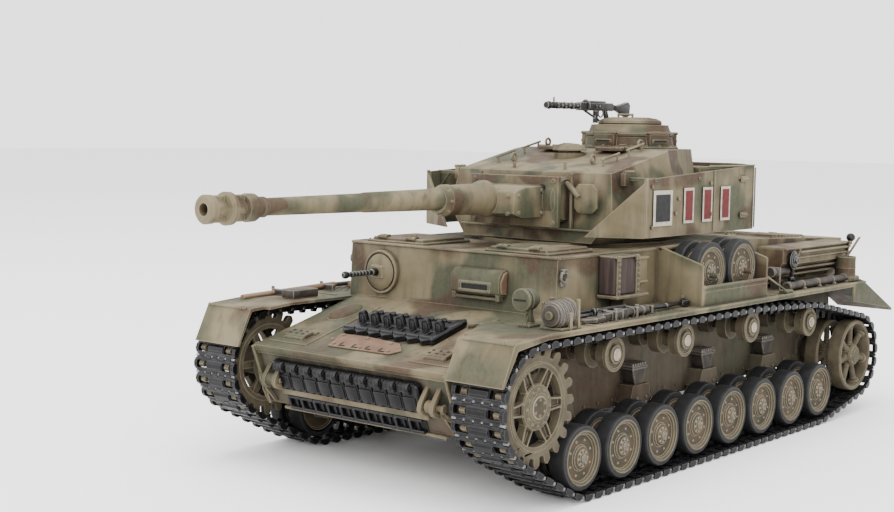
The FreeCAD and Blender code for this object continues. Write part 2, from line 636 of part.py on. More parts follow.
def make_tow_shackles():
    """Tow lugs on the nose corners with their curved shackles."""
    pieces = []
    x = NOSE_X - 1.2
    z = NOSE_TOP_Z - 5.6
    y = TUB_HALF - 4.2
    for offset in (-1.7, 0.9):
        lug = side_prism([(x - 3.4, z - 3.2), (x + 2.2, z - 1.4), (x + 2.6, z + 1.2), (x - 0.8, z + 2.2)],
                         y + offset, y + offset + 0.8)
        pieces.append(lug)
    pin = rod_y(x + 1.4, z, y - 2.4, y + 2.4, 0.6)
    hook = [rod_y(x + 1.4, z, y - 0.8, y + 0.8, 1.3)]
    lug_group = fuse(pieces + [pin] + hook).cut(nose_room())
    return both_sides([lug_group])


def nose_room():
    """Space behind the nose plate."""
    outline = [(NOSE_FOOT_X + 0.02, BELLY_Z + 1.0), (NOSE_X + 0.02, NOSE_TOP_Z),
               (NOSE_X - 20, NOSE_TOP_Z + 6), (NOSE_X - 20, BELLY_Z - 2), (NOSE_FOOT_X - 6.0, BELLY_Z - 0.02)]
    return side_prism(outline, -FENDER_HALF, FENDER_HALF)


def slab(start, end, thick, y0, y1):
    """Plate of a given thickness lying on the line from start to end, seen from the side."""
    run = math.hypot(end[0] - start[0], end[1] - start[1])
    nx = (start[1] - end[1]) / run
    nz = (end[0] - start[0]) / run
    if nx < 0:
        nx, nz = -nx, -nz
    return side_prism([start, end, (end[0] + nx * thick, end[1] + nz * thick),
                       (start[0] + nx * thick, start[1] + nz * thick)], y0, y1)


def make_spare_tracks():
    """Spare track lengths: two rows on the nose plate and one on the glacis."""
    def nose_point(share, off):
        x = NOSE_FOOT_X + (NOSE_X - NOSE_FOOT_X) * share + off
        return (x, BELLY_Z + 1.0 + (NOSE_TOP_Z - BELLY_Z - 1.0) * share)

    upper = slab(nose_point(0.56, 0.05), nose_point(0.97, 0.05), 1.9, -17.2, 17.2)
    lower = slab(nose_point(0.08, 0.05), nose_point(0.44, 0.05), 1.9, -17.2, 17.2)
    slope = (GLACIS_RUN_Z - NOSE_TOP_Z) / (NOSE_X - FRONT_PLATE_X)

    def glacis_point(x, off):
        return (x, NOSE_TOP_Z + (NOSE_X - x) * slope + off)

    mid = (NOSE_X + FRONT_PLATE_X) / 2
    flat = side_prism([glacis_point(mid - 6.2, 0.05), glacis_point(mid + 5.2, 0.05),
                       glacis_point(mid + 5.2, 1.7), glacis_point(mid - 6.2, 1.7)], -11.2, 12.8)
    horns = side_prism([glacis_point(mid - 1.6, 1.7), glacis_point(mid + 0.6, 1.7),
                        glacis_point(mid - 0.1, 3.5), glacis_point(mid - 0.9, 3.5)], -11.2, 12.8)
    return [upper, lower, fuse([flat, horns])]


def make_fender_equipment():
    """Headlamp, jack, wooden jack block, extinguisher, bars and boxes that lie on the fenders."""
    top = FENDER_Z + 0.02
    x = FRONT_PLATE_X
    lamp = fuse([rod_x(x + 1.2, x + 4.6, 33.4, top + 3.4, 1.9), rod_z(x + 2.6, 33.4, top, top + 2.0, 0.6)])
    horn = rod_x(x + 4.4, x + 9.4, 37.2, top + 1.6, 1.5)
    jack_foot = box(x - 13.6, x - 11.6, 37.6, 40.4, top, top + 2.4)
    jack = fuse([rod_x(x - 12.0, x + 1.0, 39.0, top + 1.2, 1.15), jack_foot])
    block_x = x - 23.5
    block = box(block_x, block_x + 7.8, SUPER_HALF + 0.5, SUPER_HALF + 4.6, top, top + 8.8)
    bars = [rod_x(x - 26.0, x - 8.0, 35.6, top + 0.7, 0.65), rod_x(x - 26.0, x - 14.0, 37.4, top + 0.6, 0.55)]
    right_bars = [rod_x(x - 6.0, x + 22.0, -38.6, top + 0.9, 0.85),
                  rod_x(x - 34.0, x - 8.0, -36.4, top + 0.8, 0.75)]
    right_boxes = [box(x - 30.0, x - 8.0, -34.6, -32.2, top, top + 1.8),
                   box(x + 8.0, x + 16.0, -33.4, -29.4, top, top + 1.9)]
    can = rod_x(IDLER_X - 6.0, IDLER_X + 2.4, 35.4, top + 2.0, 1.9)
    pole = rod_z(REAR_PLATE_X + 14.0, -38.0, top, top + 5.4, 0.8)
    return [lamp, horn, jack, block] + bars + right_bars + right_boxes + [can, pole]


SPARE_X0 = FRONT_PLATE_X - 66.0
SPARE_X1 = FRONT_PLATE_X - 37.0


def make_spare_wheel_box():
    """Open tray on the left fender that holds two spare road wheels upright."""
    y0 = SUPER_HALF + 0.04
    y1 = FENDER_HALF - 1.4
    base = FENDER_Z + 0.02
    t = 0.5
    front = prism([V(SPARE_X1 - t, y0, base), V(SPARE_X1 - t, y1, base), V(SPARE_X1 - t, y1, base + 8.8),
                   V(SPARE_X1 - t, y0 + 0.6, base + 12.2), V(SPARE_X1 - t, y0, base + 12.2)], V(t, 0, 0))
    rear = front.translated(V(SPARE_X0 - SPARE_X1 + t, 0, 0))
    floor = box(SPARE_X0, SPARE_X1, y0, y1, base, base + t)
    board = box(SPARE_X0, SPARE_X1, y1 - t, y1, base, base + 4.2)
    back = box(SPARE_X0, SPARE_X1, y0, y0 + t, base, base + 10.5)
    return [fuse([front, rear, floor, board, back])]


def make_spare_wheels():
    """Two spare road wheels that stand in the tray."""
    wheels = []
    length = SPARE_X1 - SPARE_X0
    y0 = SUPER_HALF + 2.6
    for share in (0.26, 0.74):
        x = SPARE_X0 + length * share
        z = FENDER_Z + 0.6 + WHEEL_R
        profile = [(1.2, y0), (WHEEL_R - 0.2, y0), (WHEEL_R, y0 + 0.2), (WHEEL_R, y0 + 7.4),
                   (WHEEL_R - 1.0, y0 + 7.6), (WHEEL_R - 1.5, y0 + 6.8), (2.4, y0 + 6.8),
                   (2.0, y0 + 7.7), (1.2, y0 + 7.7)]
        wheels.append(turned_ring(profile, x, z))
    return wheels


def make_exhaust_muffler():
    """Cylindrical silencer across the rear plate, on two brackets."""
    x = REAR_PLATE_X - MUFFLER_R - 0.1
    z = FENDER_Z - 6.6
    drum = rod_y(x, z, -15.0, 15.0, MUFFLER_R)
    caps = [rod_y(x, z, -16.0, -15.0, MUFFLER_R - 0.7), rod_y(x, z, 15.0, 16.0, MUFFLER_R - 0.7)]
    pipe = rod_z(x + 0.4, -8.0, z + 1.0, z + 6.2, 1.0)
    brackets = []
    for y in (-10.0, 8.8):
        brackets.append(box(x, REAR_PLATE_X - 0.02, y, y + 1.2, z - 1.0, z + MUFFLER_R + 0.8))
    return [fuse([drum, pipe] + caps + brackets)]


# ---- turret -------------------------------------------------------------------------------
def turret_wire(z, front, half, shoulder, rear, rear_half, inset):
    """Six-sided turret plan at one height, drawn in by a wall."""
    outline = [
        (front - inset, -half + inset), (front - inset, half - inset),
        (-4.0, shoulder - inset), (rear + inset, rear_half - inset * 0.6),
        (rear + inset, -rear_half + inset * 0.6), (-4.0, -shoulder + inset),
    ]
    points = [V(TURRET_X + x, TURRET_Y + y, z) for x, y in outline]
    return Part.makePolygon(points + [points[0]])


def turret_form(inset):
    top = TURRET_TOP_Z + 6
    waist = TURRET_Z + 6.5
    wires = [
        turret_wire(TURRET_Z, 19.6, 17.6, 21.6, -26.5, 11.5, inset),
        turret_wire(waist, 19.0, 22.4, 24.6, -30.0, 14.6, inset),
        turret_wire(top, 15.6, 19.0, 19.6, -28.6, 12.0, inset),
    ]
    lower = Part.makeLoft(wires[:2], True, True)
    upper = Part.makeLoft(wires[1:], True, True)
    return fuse([lower, upper])


def roof_room(drop):
    """Space above the turret roof: rising front half, level rear half."""
    front_z = TURRET_Z + TURRET_FRONT_H - drop
    top_z = TURRET_TOP_Z - drop
    outline = [(TURRET_X + 40, front_z - 4.6), (TURRET_X + 17.0, front_z), (TURRET_X - 6.0, top_z),
               (TURRET_X - 60, top_z), (TURRET_X - 60, top_z + 30), (TURRET_X + 40, top_z + 30)]
    return side_prism(outline, -FENDER_HALF, FENDER_HALF)


def make_turret_shell():
    """Hollow turret with its neck, internal ring gear and gun window."""
    shell = turret_form(0).cut(roof_room(0))
    room = turret_form(WALL).cut(roof_room(WALL)).cut(box(-90, 90, -50, 50, TURRET_Z - 1, TURRET_Z + WALL))
    shell = shell.cut(room)
    neck = rod_z(TURRET_X, TURRET_Y, RING_GEAR_Z, TURRET_Z + 0.4, NECK_R)
    gear = gear_z(TURRET_X, TURRET_Y, RING_GEAR_Z, RING_GEAR_Z + GEAR_W, RING_TEETH, TRAVERSE_MODULE,
                  math.pi / RING_TEETH)
    shell = fuse([shell, neck, gear])
    shell = shell.cut(rod_z(TURRET_X, TURRET_Y, RING_GEAR_Z - 1, TURRET_Z + WALL + 0.2, NECK_R - 1.4))
    y = TURRET_Y
    side = DRUM_HALF + DRUM_PLAY
    reach = DRUM_R + DRUM_PLAY
    window = box(GUN_PIVOT_X - DRUM_R - 3, GUN_PIVOT_X + 9, y - side, y + side, GUN_Z - reach, GUN_Z + reach)
    window = window.cut(roof_room(WALL))
    return [shell.cut(window)]


def skirt_outline(inset):
    half = SKIRT_HALF - inset
    rear = SKIRT_REAR_X + inset
    corner = 16.0
    right = [(SKIRT_FRONT_X, -half), (SKIRT_SIDE_END_X, -half), (rear + 2.2, -corner - 4.0 + inset),
             (rear, -corner + inset)]
    left = [(x, -y) for x, y in reversed(right)]
    return [(TURRET_X + x, TURRET_Y + y) for x, y in right + left]


def make_turret_skirt():
    """Armour skirt round the turret, open at the front, with gusset ends and braces."""
    low = TURRET_Z + SKIRT_LIFT
    front_z = TURRET_Z + 14.0
    rear_z = TURRET_Z + 16.7
    high = rear_z + 2
    ring = plan_prism(skirt_outline(0), low, high).cut(plan_prism(skirt_outline(SKIRT_T), low - 1, high + 1))
    front_x = TURRET_X + SKIRT_FRONT_X
    back_x = TURRET_X + SKIRT_REAR_X
    ring = ring.cut(box(front_x - SKIRT_T, front_x + 5, -60, 60, low - 1, high + 1))
    above = side_prism([(front_x + 2, front_z), (TURRET_X + SKIRT_SIDE_END_X, rear_z), (back_x - 2, rear_z),
                        (back_x - 2, high + 3), (front_x + 2, high + 3)], -60, 60)
    ring = ring.cut(above)
    gussets = []
    for side in (1, -1):
        bend_y = TURRET_Y + side * SKIRT_HALF
        tip = (front_x + 5.7, TURRET_Y + side * 18.8)
        run = V(tip[0] - front_x + SKIRT_T, tip[1] - bend_y, 0)
        push = V(0, 0, 1).cross(run).normalize() * (SKIRT_T * side)
        corners = [V(front_x - SKIRT_T, bend_y, low), V(tip[0], tip[1], low),
                   V(front_x - SKIRT_T, bend_y, front_z - 0.3)]
        gussets.append(prism(corners, push))
    braces = []
    brace_z = TURRET_Z + 11.0
    for x, wall_y in ((8.0, 21.6), (-8.0, 22.6), (-22.0, 17.2)):
        for side in (1, -1):
            braces.append(bar((TURRET_X + x, TURRET_Y + side * wall_y, brace_z),
                              (TURRET_X + x, TURRET_Y + side * (SKIRT_HALF - SKIRT_T / 2), brace_z), 0.45))
    return [fuse([ring] + gussets + braces)]


def make_turret_bin():
    """Stowage bin on the turret rear, inside the skirt."""
    x1 = TURRET_X - 30.6
    x0 = TURRET_X + SKIRT_REAR_X + 1.6
    body = box(x0, x1, TURRET_Y - 14.0, TURRET_Y + 14.0, TURRET_Z + 4.0, TURRET_Z + 14.6)
    lid = box(x0 - 0.3, x1 + 0.1, TURRET_Y - 14.4, TURRET_Y + 14.4, TURRET_Z + 14.6, TURRET_Z + 15.4)
    brackets = []
    for y in (-7.0, 6.0):
        brackets.append(box(x1 - 0.1, TURRET_X - 28.6, TURRET_Y + y, TURRET_Y + y + 1.0,
                            TURRET_Z + 6.0, TURRET_Z + 12.6))
    return [fuse([body, lid] + brackets).cut(turret_form(0))]


def make_turret_fittings():
    """Roof fan cover, lifting lugs, sight hood and the two front port covers."""
    roof = TURRET_TOP_Z + 0.02
    fan = rod_z(TURRET_X - 8.0, TURRET_Y - 11.0, roof, roof + 1.0, 3.6)
    lugs = []
    for x in (-10.0, -22.0):
        lugs.append(box(TURRET_X + x, TURRET_X + x + 2.0, TURRET_Y - 17.6, TURRET_Y - 16.4, roof, roof + 1.0))
    port = rod_x(TURRET_X + 18.2, TURRET_X + 20.6, TURRET_Y + 15.4, TURRET_Z + 9.2, 2.3)
    port = port.cut(turret_form(0).common(box(-90, 90, -60, 60, 0, TURRET_TOP_Z)))
    sight = box(TURRET_X + 17.6, TURRET_X + 22.2, TURRET_Y - 15.6, TURRET_Y - 13.0,
                TURRET_Z + 9.0, TURRET_Z + 11.0)
    sight = sight.cut(turret_form(0))
    return [fan] + lugs + [port, sight]


def make_cupola():
    """Commander's cupola: drum, vision blocks and the ring that carries the hatch."""
    x, y = CUPOLA_CX, CUPOLA_CY
    z0 = TURRET_TOP_Z + 0.02
    top = CUPOLA_TOP_Z
    drum = rod_z(x, y, z0, z0 + 4.4, CUPOLA_R)
    crown = Part.makeCone(CUPOLA_R - 0.4, CUPOLA_TOP_R, top - z0 - 4.4, V(x, y, z0 + 4.4), V(0, 0, 1))
    body = fuse([drum, crown]).cut(rod_z(x, y, z0 - 1, top + 1, HATCH_R))
    block = box(x + CUPOLA_R - 2.6, x + CUPOLA_R + 0.7, y - 3.0, y + 3.0, z0 + 1.2, z0 + 5.0)
    blocks = []
    for i in range(5):
        copy = block.copy()
        copy.rotate(V(x, y, 0), V(0, 0, 1), 72.0 * i)
        blocks.append(copy)
    return [fuse([body] + blocks)]


def make_cupola_hatch():
    """Round hatch lid with its plug and grab handle."""
    x, y = CUPOLA_CX, CUPOLA_CY
    top = CUPOLA_TOP_Z + 0.02
    plate = rod_z(x, y, top, top + 0.7, HATCH_R + 1.0)
    plug = rod_z(x, y, top - 1.2, top, HATCH_R - 0.2)
    handle = rod_y(x, top + 1.0, y - 2.0, y + 2.0, 0.4)
    return [fuse([plate, plug, handle])]


AA_POST_X = CUPOLA_CX + 8.0
AA_POST_Y = TURRET_Y - 3.6
AA_GUN_Z = CUPOLA_TOP_Z + 2.6


def make_aa_gun():
    """Roof machine gun on its swivel post: post, cradle, receiver, jacketed barrel and butt."""
    x, y, z = AA_POST_X, AA_POST_Y, AA_GUN_Z
    front = x + AA_GUN_L * 0.58
    back = x - AA_GUN_L * 0.42
    post = rod_z(x, y, CUPOLA_TOP_Z + 0.1, z, 0.6)
    foot = rod_z(x, y, CUPOLA_TOP_Z + 0.1, CUPOLA_TOP_Z + 0.7, 1.4)
    cradle = box(x - 3.2, x + 3.2, y - 0.9, y + 0.9, z - 0.9, z - 0.2)
    receiver = box(x - 6.4, x + 3.6, y - 0.8, y + 0.8, z - 0.5, z + 1.4)
    jacket = rod_x(x + 3.0, front - 2.0, y, z + 0.3, 0.65)
    muzzle = Part.makeCone(0.45, 0.75, 2.2, V(front - 2.2, y, z + 0.3), V(1, 0, 0))
    butt_outline = [(x - 6.2, z - 0.3), (x - 6.2, z + 0.9), (back, z + 1.2), (back, z - 1.6)]
    butt = side_prism(butt_outline, y - 0.6, y + 0.6)
    sight = box(x + 1.0, x + 1.8, y - 0.3, y + 0.3, z + 1.2, z + 2.7)
    drum = rod_y(x - 0.6, z - 0.2, y - 2.6, y - 0.7, 1.3)
    return [fuse([post, foot, cradle, receiver, jacket, muzzle, butt, sight, drum])]


def make_gun_mantlet():
    """Drum that turns in the turret front, its box-shaped shield and the recoil sleeve."""
    x, y, z = GUN_PIVOT_X, TURRET_Y, GUN_Z
    drum = rod_y(x, z, y - DRUM_HALF, y + DRUM_HALF, DRUM_R)
    shield = side_prism([(x, z - 4.2), (x + 8.2, z - 3.5), (x + 8.2, z + 3.2), (x, z + 3.9)],
                        y - DRUM_HALF, y + DRUM_HALF)
    end = TURRET_X + SLEEVE_END_X
    collar = Part.makeCone(4.4, 3.7, 6.0, V(x + 7.6, y, z), V(1, 0, 0))
    sleeve = rod_x(x + 8.0, end, y, z, SLEEVE_R)
    bore = rod_x(x + 2.0, end + 1, y, z, BARREL_REAR_R + 0.02)
    return [fuse([drum, shield, collar, sleeve]).cut(bore)]


def make_gun_barrel():
    """Stepped barrel with its double-baffle muzzle brake."""
    x0 = GUN_PIVOT_X + 2.2
    y, z = TURRET_Y, GUN_Z
    step = TURRET_X + SLEEVE_END_X + 2.0
    brake_x = MUZZLE_X - BRAKE_LENGTH
    rear = rod_x(x0, step, y, z, BARREL_REAR_R)
    tube = Part.makeCone(BARREL_REAR_R - 0.08, BARREL_FRONT_R, brake_x - step + 0.5,
                         V(step, y, z), V(1, 0, 0))
    neck = Part.makeCone(BARREL_FRONT_R, 2.3, 6.0, V(brake_x, y, z), V(1, 0, 0))
    baffles = [rod_x(brake_x + 5.8, brake_x + 7.2, y, z, 3.0), rod_x(MUZZLE_X - 1.5, MUZZLE_X, y, z, 2.6)]
    core = rod_x(brake_x + 5.0, MUZZLE_X - 0.5, y, z, 2.0)
    gun = fuse([rear, tube, neck, core] + baffles)
    gun = gun.cut(rod_x(MUZZLE_X - 12, MUZZLE_X + 1, y, z, BORE_R))
    port = box(brake_x + 7.9, MUZZLE_X - 2.2, y - 4, y + 4, z - 0.8, z + 0.8)
    return [gun.cut(port)]


# ---- inside -------------------------------------------------------------------------------
def make_drive_gearboxes():
    """Two gear frames with their drive motors, one for each track."""
    x, z = PINION_X, SPROCKET_Z
    inner_y = FINAL_GEAR_Y - 2.0
    frame = box(x - 6.0, SPROCKET_X + 1.9, inner_y, inner_y + 1.0, z - 5.6, z + 4.4)
    frame = frame.cut(rod_y(x, z, inner_y - 1, inner_y + 2, 0.7))
    frame = frame.cut(rod_y(SPROCKET_X, z, inner_y - 1, inner_y + 2, DRIVE_AXLE_R + RUNNING_PLAY))
    foot = box(x - 6.0, NOSE_FOOT_X - 6.4, inner_y - 3.0, inner_y + 1.0, BELLY_Z + WALL + 0.02, z - 5.4)
    can = rod_y(x, z, inner_y - MOTOR_L, inner_y, MOTOR_R)
    can = can.cut(rod_y(x, z, inner_y - 1.0, inner_y + 1, 0.7))
    return both_sides([fuse([frame, foot, can])])


def make_traverse_motor():
    """Upright motor that turns the turret, on a post from the belly."""
    x, y = TRAVERSE_X, TURRET_Y
    top = RING_GEAR_Z - 1.2
    can = rod_z(x, y, top - 12.0, top, 4.0).cut(rod_z(x, y, top - 1.0, top + 1, 0.7))
    post = box(x - 3.0, x + 3.0, y - 3.0, y + 3.0, BELLY_Z + WALL + 0.02, top - 11.5)
    return [fuse([can, post])]


def make_traverse_pinion():
    x, y = TRAVERSE_X, TURRET_Y
    gear = gear_z(x, y, RING_GEAR_Z, RING_GEAR_Z + GEAR_W, TRAVERSE_TEETH, TRAVERSE_MODULE, 0)
    shaft = rod_z(x, y, RING_GEAR_Z - 1.9, RING_GEAR_Z, 0.6)
    return [fuse([gear, shaft])]


def make_elevation_motor():
    """Gun elevation motor on the turret floor, behind the gun."""
    z = TURRET_Z + WALL + 0.02
    y = TURRET_Y - 13.4
    can = rod_x(TURRET_X - 14.0, TURRET_X - 1.0, y, z + 3.4, 3.0)
    foot = box(TURRET_X - 12.0, TURRET_X - 3.0, y - 2.4, y + 2.4, z, z + 2.0)
    return [fuse([can, foot])]


def make_receiver_board():
    """Circuit board with its chips and plugs, over the battery."""
    x0 = DOOR_X0 + 1.0
    x1 = DOOR_X1 - 2.0
    z = BELLY_Z + WALL + 2 * CELL_R + 4.0
    board = box(x0, x1, -18.0, 18.0, z, z + 1.0)
    chips = [box(x0 + 8, x0 + 18, -6, 6, z + 0.9, z + 2.2), box(x0 + 26, x0 + 31, -14, -6, z + 0.9, z + 3.4),
             box(x0 + 26, x0 + 31, 4, 12, z + 0.9, z + 3.4)]
    reach = DOOR_HALF_Y + 0.4
    bridge = box(x0 + 4, x0 + 6, -reach - 1.0, reach + 1.0, z, z + 0.9)
    post = box(x0 + 4, x0 + 6, reach, reach + 1.0, BELLY_Z + WALL + 0.02, z + 0.5)
    return [fuse([board, bridge] + chips + both_sides([post]))]


def make_battery_pack():
    """Four cells side by side."""
    x0 = TURRET_X - CELL_L
    z = BELLY_Z + CELL_R + 0.5
    cells = []
    for i in range(CELLS):
        y = (i - (CELLS - 1) / 2) * 2 * CELL_R
        can = rod_x(x0, x0 + CELL_L - 1.0, y, z, CELL_R - 0.1)
        cells.append(fuse([can, rod_x(x0 + CELL_L - 1.2, x0 + CELL_L, y, z, 1.6)]))
    return cells


def make_battery_door():
    z0 = BELLY_Z - DOOR_T - DOOR_PLAY
    reach = RAIL_Y - DOOR_PLAY
    plate = box(DOOR_X0 - 1.0, DOOR_X1 - 0.2, -reach, reach, z0, z0 + DOOR_T)
    ridges = []
    for i in range(4):
        x = DOOR_X1 - 4.0 - 1.4 * i
        ridges.append(box(x, x + 0.6, -6, 6, z0 - 0.4, z0 + 0.1))
    return [fuse([plate] + ridges)]


def make_power_switch():
    z = BELLY_Z
    knob = box(SWITCH_X - KNOB_HALF, SWITCH_X + KNOB_HALF, -0.8, 0.8, z - 0.8, z + WALL + 1.4)
    slide = box(SWITCH_X - 2.6, SWITCH_X + 2.6, -2.0, 2.0, z + WALL + 0.2, z + WALL + 1.4)
    return [fuse([knob, slide])]


def make_hull_screws():
    """Four cross-head screws from below."""
    y = SCREW_Y
    head_z = BELLY_Z - 0.9
    screws = []
    for x in SCREWS_X:
        shank = rod_z(x, y, head_z + 0.4, BELLY_Z + 9.0, SCREW_R - 0.01)
        head = rod_z(x, y, head_z, BELLY_Z - 0.02, 1.8)
        slot = box(x - 1.0, x + 1.0, y - 0.2, y + 0.2, head_z - 1, head_z + 0.4)
        cross_slot = box(x - 0.2, x + 0.2, y - 1.0, y + 1.0, head_z - 1, head_z + 0.4)
        screws.append(fuse([head, shank]).cut(slot).cut(cross_slot))
    return both_sides(screws)


# ---- everything ---------------------------------------------------------------------------
def make_all():
    nodes = {
        "lower_hull": make_lower_hull(), "upper_hull": make_upper_hull(), "fenders": both_sides([fender()]),
        "tracks": make_tracks(), "suspension_units": make_suspension(),
        "front_plate_fittings": make_front_plate_fittings(), "tow_shackles": make_tow_shackles(),
        "spare_tracks": make_spare_tracks(), "fender_equipment": make_fender_equipment(),
        "spare_wheel_box": make_spare_wheel_box(), "spare_wheels": make_spare_wheels(),
        "exhaust_muffler": make_exhaust_muffler(), "turret_shell": make_turret_shell(),
        "turret_skirt": make_turret_skirt(), "turret_bin": make_turret_bin(),
        "turret_fittings": make_turret_fittings(), "cupola": make_cupola(),
        "cupola_hatch": make_cupola_hatch(), "aa_gun": make_aa_gun(), "gun_mantlet": make_gun_mantlet(),
        "gun_barrel": make_gun_barrel(),
        "elevation_motor": make_elevation_motor(), "drive_gearboxes": make_drive_gearboxes(),
        "receiver_board": make_receiver_board(), "battery_pack": make_battery_pack(),
        "battery_door": make_battery_door(), "power_switch": make_power_switch(),
        "traverse_motor": make_traverse_motor(), "traverse_pinion": make_traverse_pinion(),
        "hull_screws": make_hull_screws(),
    }
    left = {"sprocket": sprocket(), "idler": [idler()], "motor_pinion": [motor_pinion()]}
    for i in range(ROAD_WHEELS):
        left["road_wheel_%d" % (i + 1)] = [road_wheel(FIRST_X - i * WHEEL_PITCH)]
    for i, behind in enumerate(ROLLERS_X):
        drop = LAST_ROLLER_DROP if i == len(ROLLERS_X) - 1 else 0
        left["return_roller_%d" % (i + 1)] = [return_roller(FIRST_X + behind, ROLLER_Z - drop)]
    for name, solids in left.items():
        nodes["left_" + name] = solids
        nodes["right_" + name] = [mirrored(solid) for solid in solids]
    return nodes


os.makedirs("parts", exist_ok=True)
for node, solids in make_all().items():
    write(node, solids)
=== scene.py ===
import json
import math

import bmesh
import bpy
from mathutils import Matrix, Vector

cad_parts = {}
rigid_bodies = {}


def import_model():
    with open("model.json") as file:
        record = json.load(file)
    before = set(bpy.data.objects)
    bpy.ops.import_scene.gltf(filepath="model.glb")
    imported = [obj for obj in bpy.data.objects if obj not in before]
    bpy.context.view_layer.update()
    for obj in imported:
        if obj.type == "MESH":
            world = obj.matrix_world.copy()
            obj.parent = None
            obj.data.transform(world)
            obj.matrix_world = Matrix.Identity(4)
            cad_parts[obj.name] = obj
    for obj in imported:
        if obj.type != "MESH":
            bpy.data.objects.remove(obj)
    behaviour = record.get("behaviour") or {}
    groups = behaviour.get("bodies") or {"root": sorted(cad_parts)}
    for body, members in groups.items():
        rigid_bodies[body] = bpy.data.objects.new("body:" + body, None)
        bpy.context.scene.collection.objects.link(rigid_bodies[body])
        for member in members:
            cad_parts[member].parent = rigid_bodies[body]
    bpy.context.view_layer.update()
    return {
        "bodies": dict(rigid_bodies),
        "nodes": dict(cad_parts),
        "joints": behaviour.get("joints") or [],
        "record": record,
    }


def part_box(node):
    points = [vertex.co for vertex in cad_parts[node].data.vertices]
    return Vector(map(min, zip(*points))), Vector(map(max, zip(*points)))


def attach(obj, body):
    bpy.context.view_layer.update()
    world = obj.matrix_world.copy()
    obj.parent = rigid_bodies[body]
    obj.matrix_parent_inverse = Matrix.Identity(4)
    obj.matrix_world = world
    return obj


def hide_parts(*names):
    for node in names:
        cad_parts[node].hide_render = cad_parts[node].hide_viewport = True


# A radio-controlled 1/35 scale battle tank. Sizes are in millimetres and turned into metres
# where a piece is made. +X is forward, +Y is the tank's left and +Z is up.

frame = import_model()
MM = 0.001
TINY = 0.002 * MM


# ---- workshop: selecting, starting and finishing a piece ----------------------------------
def put_down():
    """Nothing selected, object mode."""
    if bpy.context.mode != "OBJECT":
        bpy.ops.object.mode_set(mode="OBJECT")
    bpy.ops.object.select_all(action="DESELECT")


def take(piece):
    put_down()
    piece.select_set(True)
    bpy.context.view_layer.objects.active = piece


def named(name):
    piece = bpy.context.object
    piece.name = name
    piece.data.name = name
    bpy.ops.object.transform_apply(location=True, rotation=True, scale=True)
    return piece


def edit(piece, mode="FACE"):
    take(piece)
    bpy.ops.object.mode_set(mode="EDIT")
    bpy.ops.mesh.select_mode(type=mode)
    bpy.ops.mesh.select_all(action="SELECT")


def done():
    bpy.ops.object.mode_set(mode="OBJECT")


def closed_up(piece):
    """Doubles merged and normals outward."""
    edit(piece, "VERT")
    bpy.ops.mesh.remove_doubles(threshold=TINY)
    bpy.ops.mesh.normals_make_consistent(inside=False)
    done()
    return piece


def eased(piece, width, steps=1, angle=32):
    """Edges rounded off by a bevel of that width."""
    take(piece)
    bevel = piece.modifiers.new("eased", "BEVEL")
    bevel.width = width * MM
    bevel.segments = steps
    bevel.limit_method = "ANGLE"
    bevel.angle_limit = math.radians(angle)
    bpy.ops.object.modifier_apply(modifier=bevel.name)
    return piece


def smooth(piece, angle=35):
    take(piece)
    bpy.ops.object.shade_smooth_by_angle(angle=math.radians(angle))
    return piece


# ---- workshop: basic shapes that the pieces start from ------------------------------------
AXES = {"x": Vector((1, 0, 0)), "y": Vector((0, 1, 0)), "z": Vector((0, 0, 1))}


def block(low, high, ease=0.12, steps=1):
    """Box between two corners, edges eased."""
    low, high = Vector(low), Vector(high)
    put_down()
    bpy.ops.mesh.primitive_cube_add(size=1, location=(low + high) / 2 * MM, scale=(high - low) * MM)
    piece = named("block")
    return eased(piece, ease, steps) if ease else piece


def rod(start, end, radius, sides=16, ease=0.0, end_radius=None):
    """Round bar between two points, tapered if it has an end radius."""
    start, end = Vector(start), Vector(end)
    put_down()
    turn = (end - start).to_track_quat("Z", "Y").to_euler()
    far = radius if end_radius is None else end_radius
    bpy.ops.mesh.primitive_cone_add(vertices=sides, radius1=radius * MM, radius2=far * MM,
                                    depth=(end - start).length * MM, location=(start + end) / 2 * MM, rotation=turn)
    piece = named("rod")
    return eased(piece, ease) if ease else piece


def ball(centre, radius, squash=(1, 1, 1), sides=16):
    put_down()
    bpy.ops.mesh.primitive_uv_sphere_add(segments=sides, ring_count=sides // 2, radius=radius * MM,
                                         location=Vector(centre) * MM, scale=squash)
    return named("ball")


def string_of_edges(points):
    """In edit mode: a single point drawn out along a line of points."""
    put_down()
    bpy.ops.mesh.primitive_plane_add(size=MM, location=Vector(points[0]) * MM)
    piece = named("line")
    edit(piece, "VERT")
    bpy.ops.mesh.merge(type="CENTER")
    for before, after in zip(points, points[1:]):
        step = (Vector(after) - Vector(before)) * MM
        bpy.ops.mesh.extrude_region_move(TRANSFORM_OT_translate={"value": step})
    bpy.ops.mesh.select_all(action="SELECT")
    return piece


def plate(outline, travel, ease=0.12, steps=1):
    """Flat outline of points, filled and carried by travel, edges eased."""
    piece = string_of_edges(outline)
    bpy.ops.mesh.edge_face_add()
    bpy.ops.mesh.extrude_region_move(TRANSFORM_OT_translate={"value": Vector(travel) * MM})
    done()
    closed_up(piece)
    return eased(piece, ease, steps) if ease else piece


def side_plate(outline, y0, y1, ease=0.12, steps=1):
    """Plate from an (x, z) outline between two places across the tank."""
    return plate([(x, y0, z) for x, z in outline], (0, y1 - y0, 0), ease, steps)


def turned(profile, centre, axis="y", steps=40):
    """Solid or ring of revolution from (along, radius) points about an axis through centre."""
    centre, line = Vector(centre), AXES[axis]
    out = AXES["z"] if axis != "z" else AXES["x"]
    piece = string_of_edges([centre + line * along + out * radius for along, radius in profile])
    bpy.ops.mesh.spin(steps=steps, angle=math.tau, center=centre * MM, axis=line)
    done()
    return closed_up(piece)


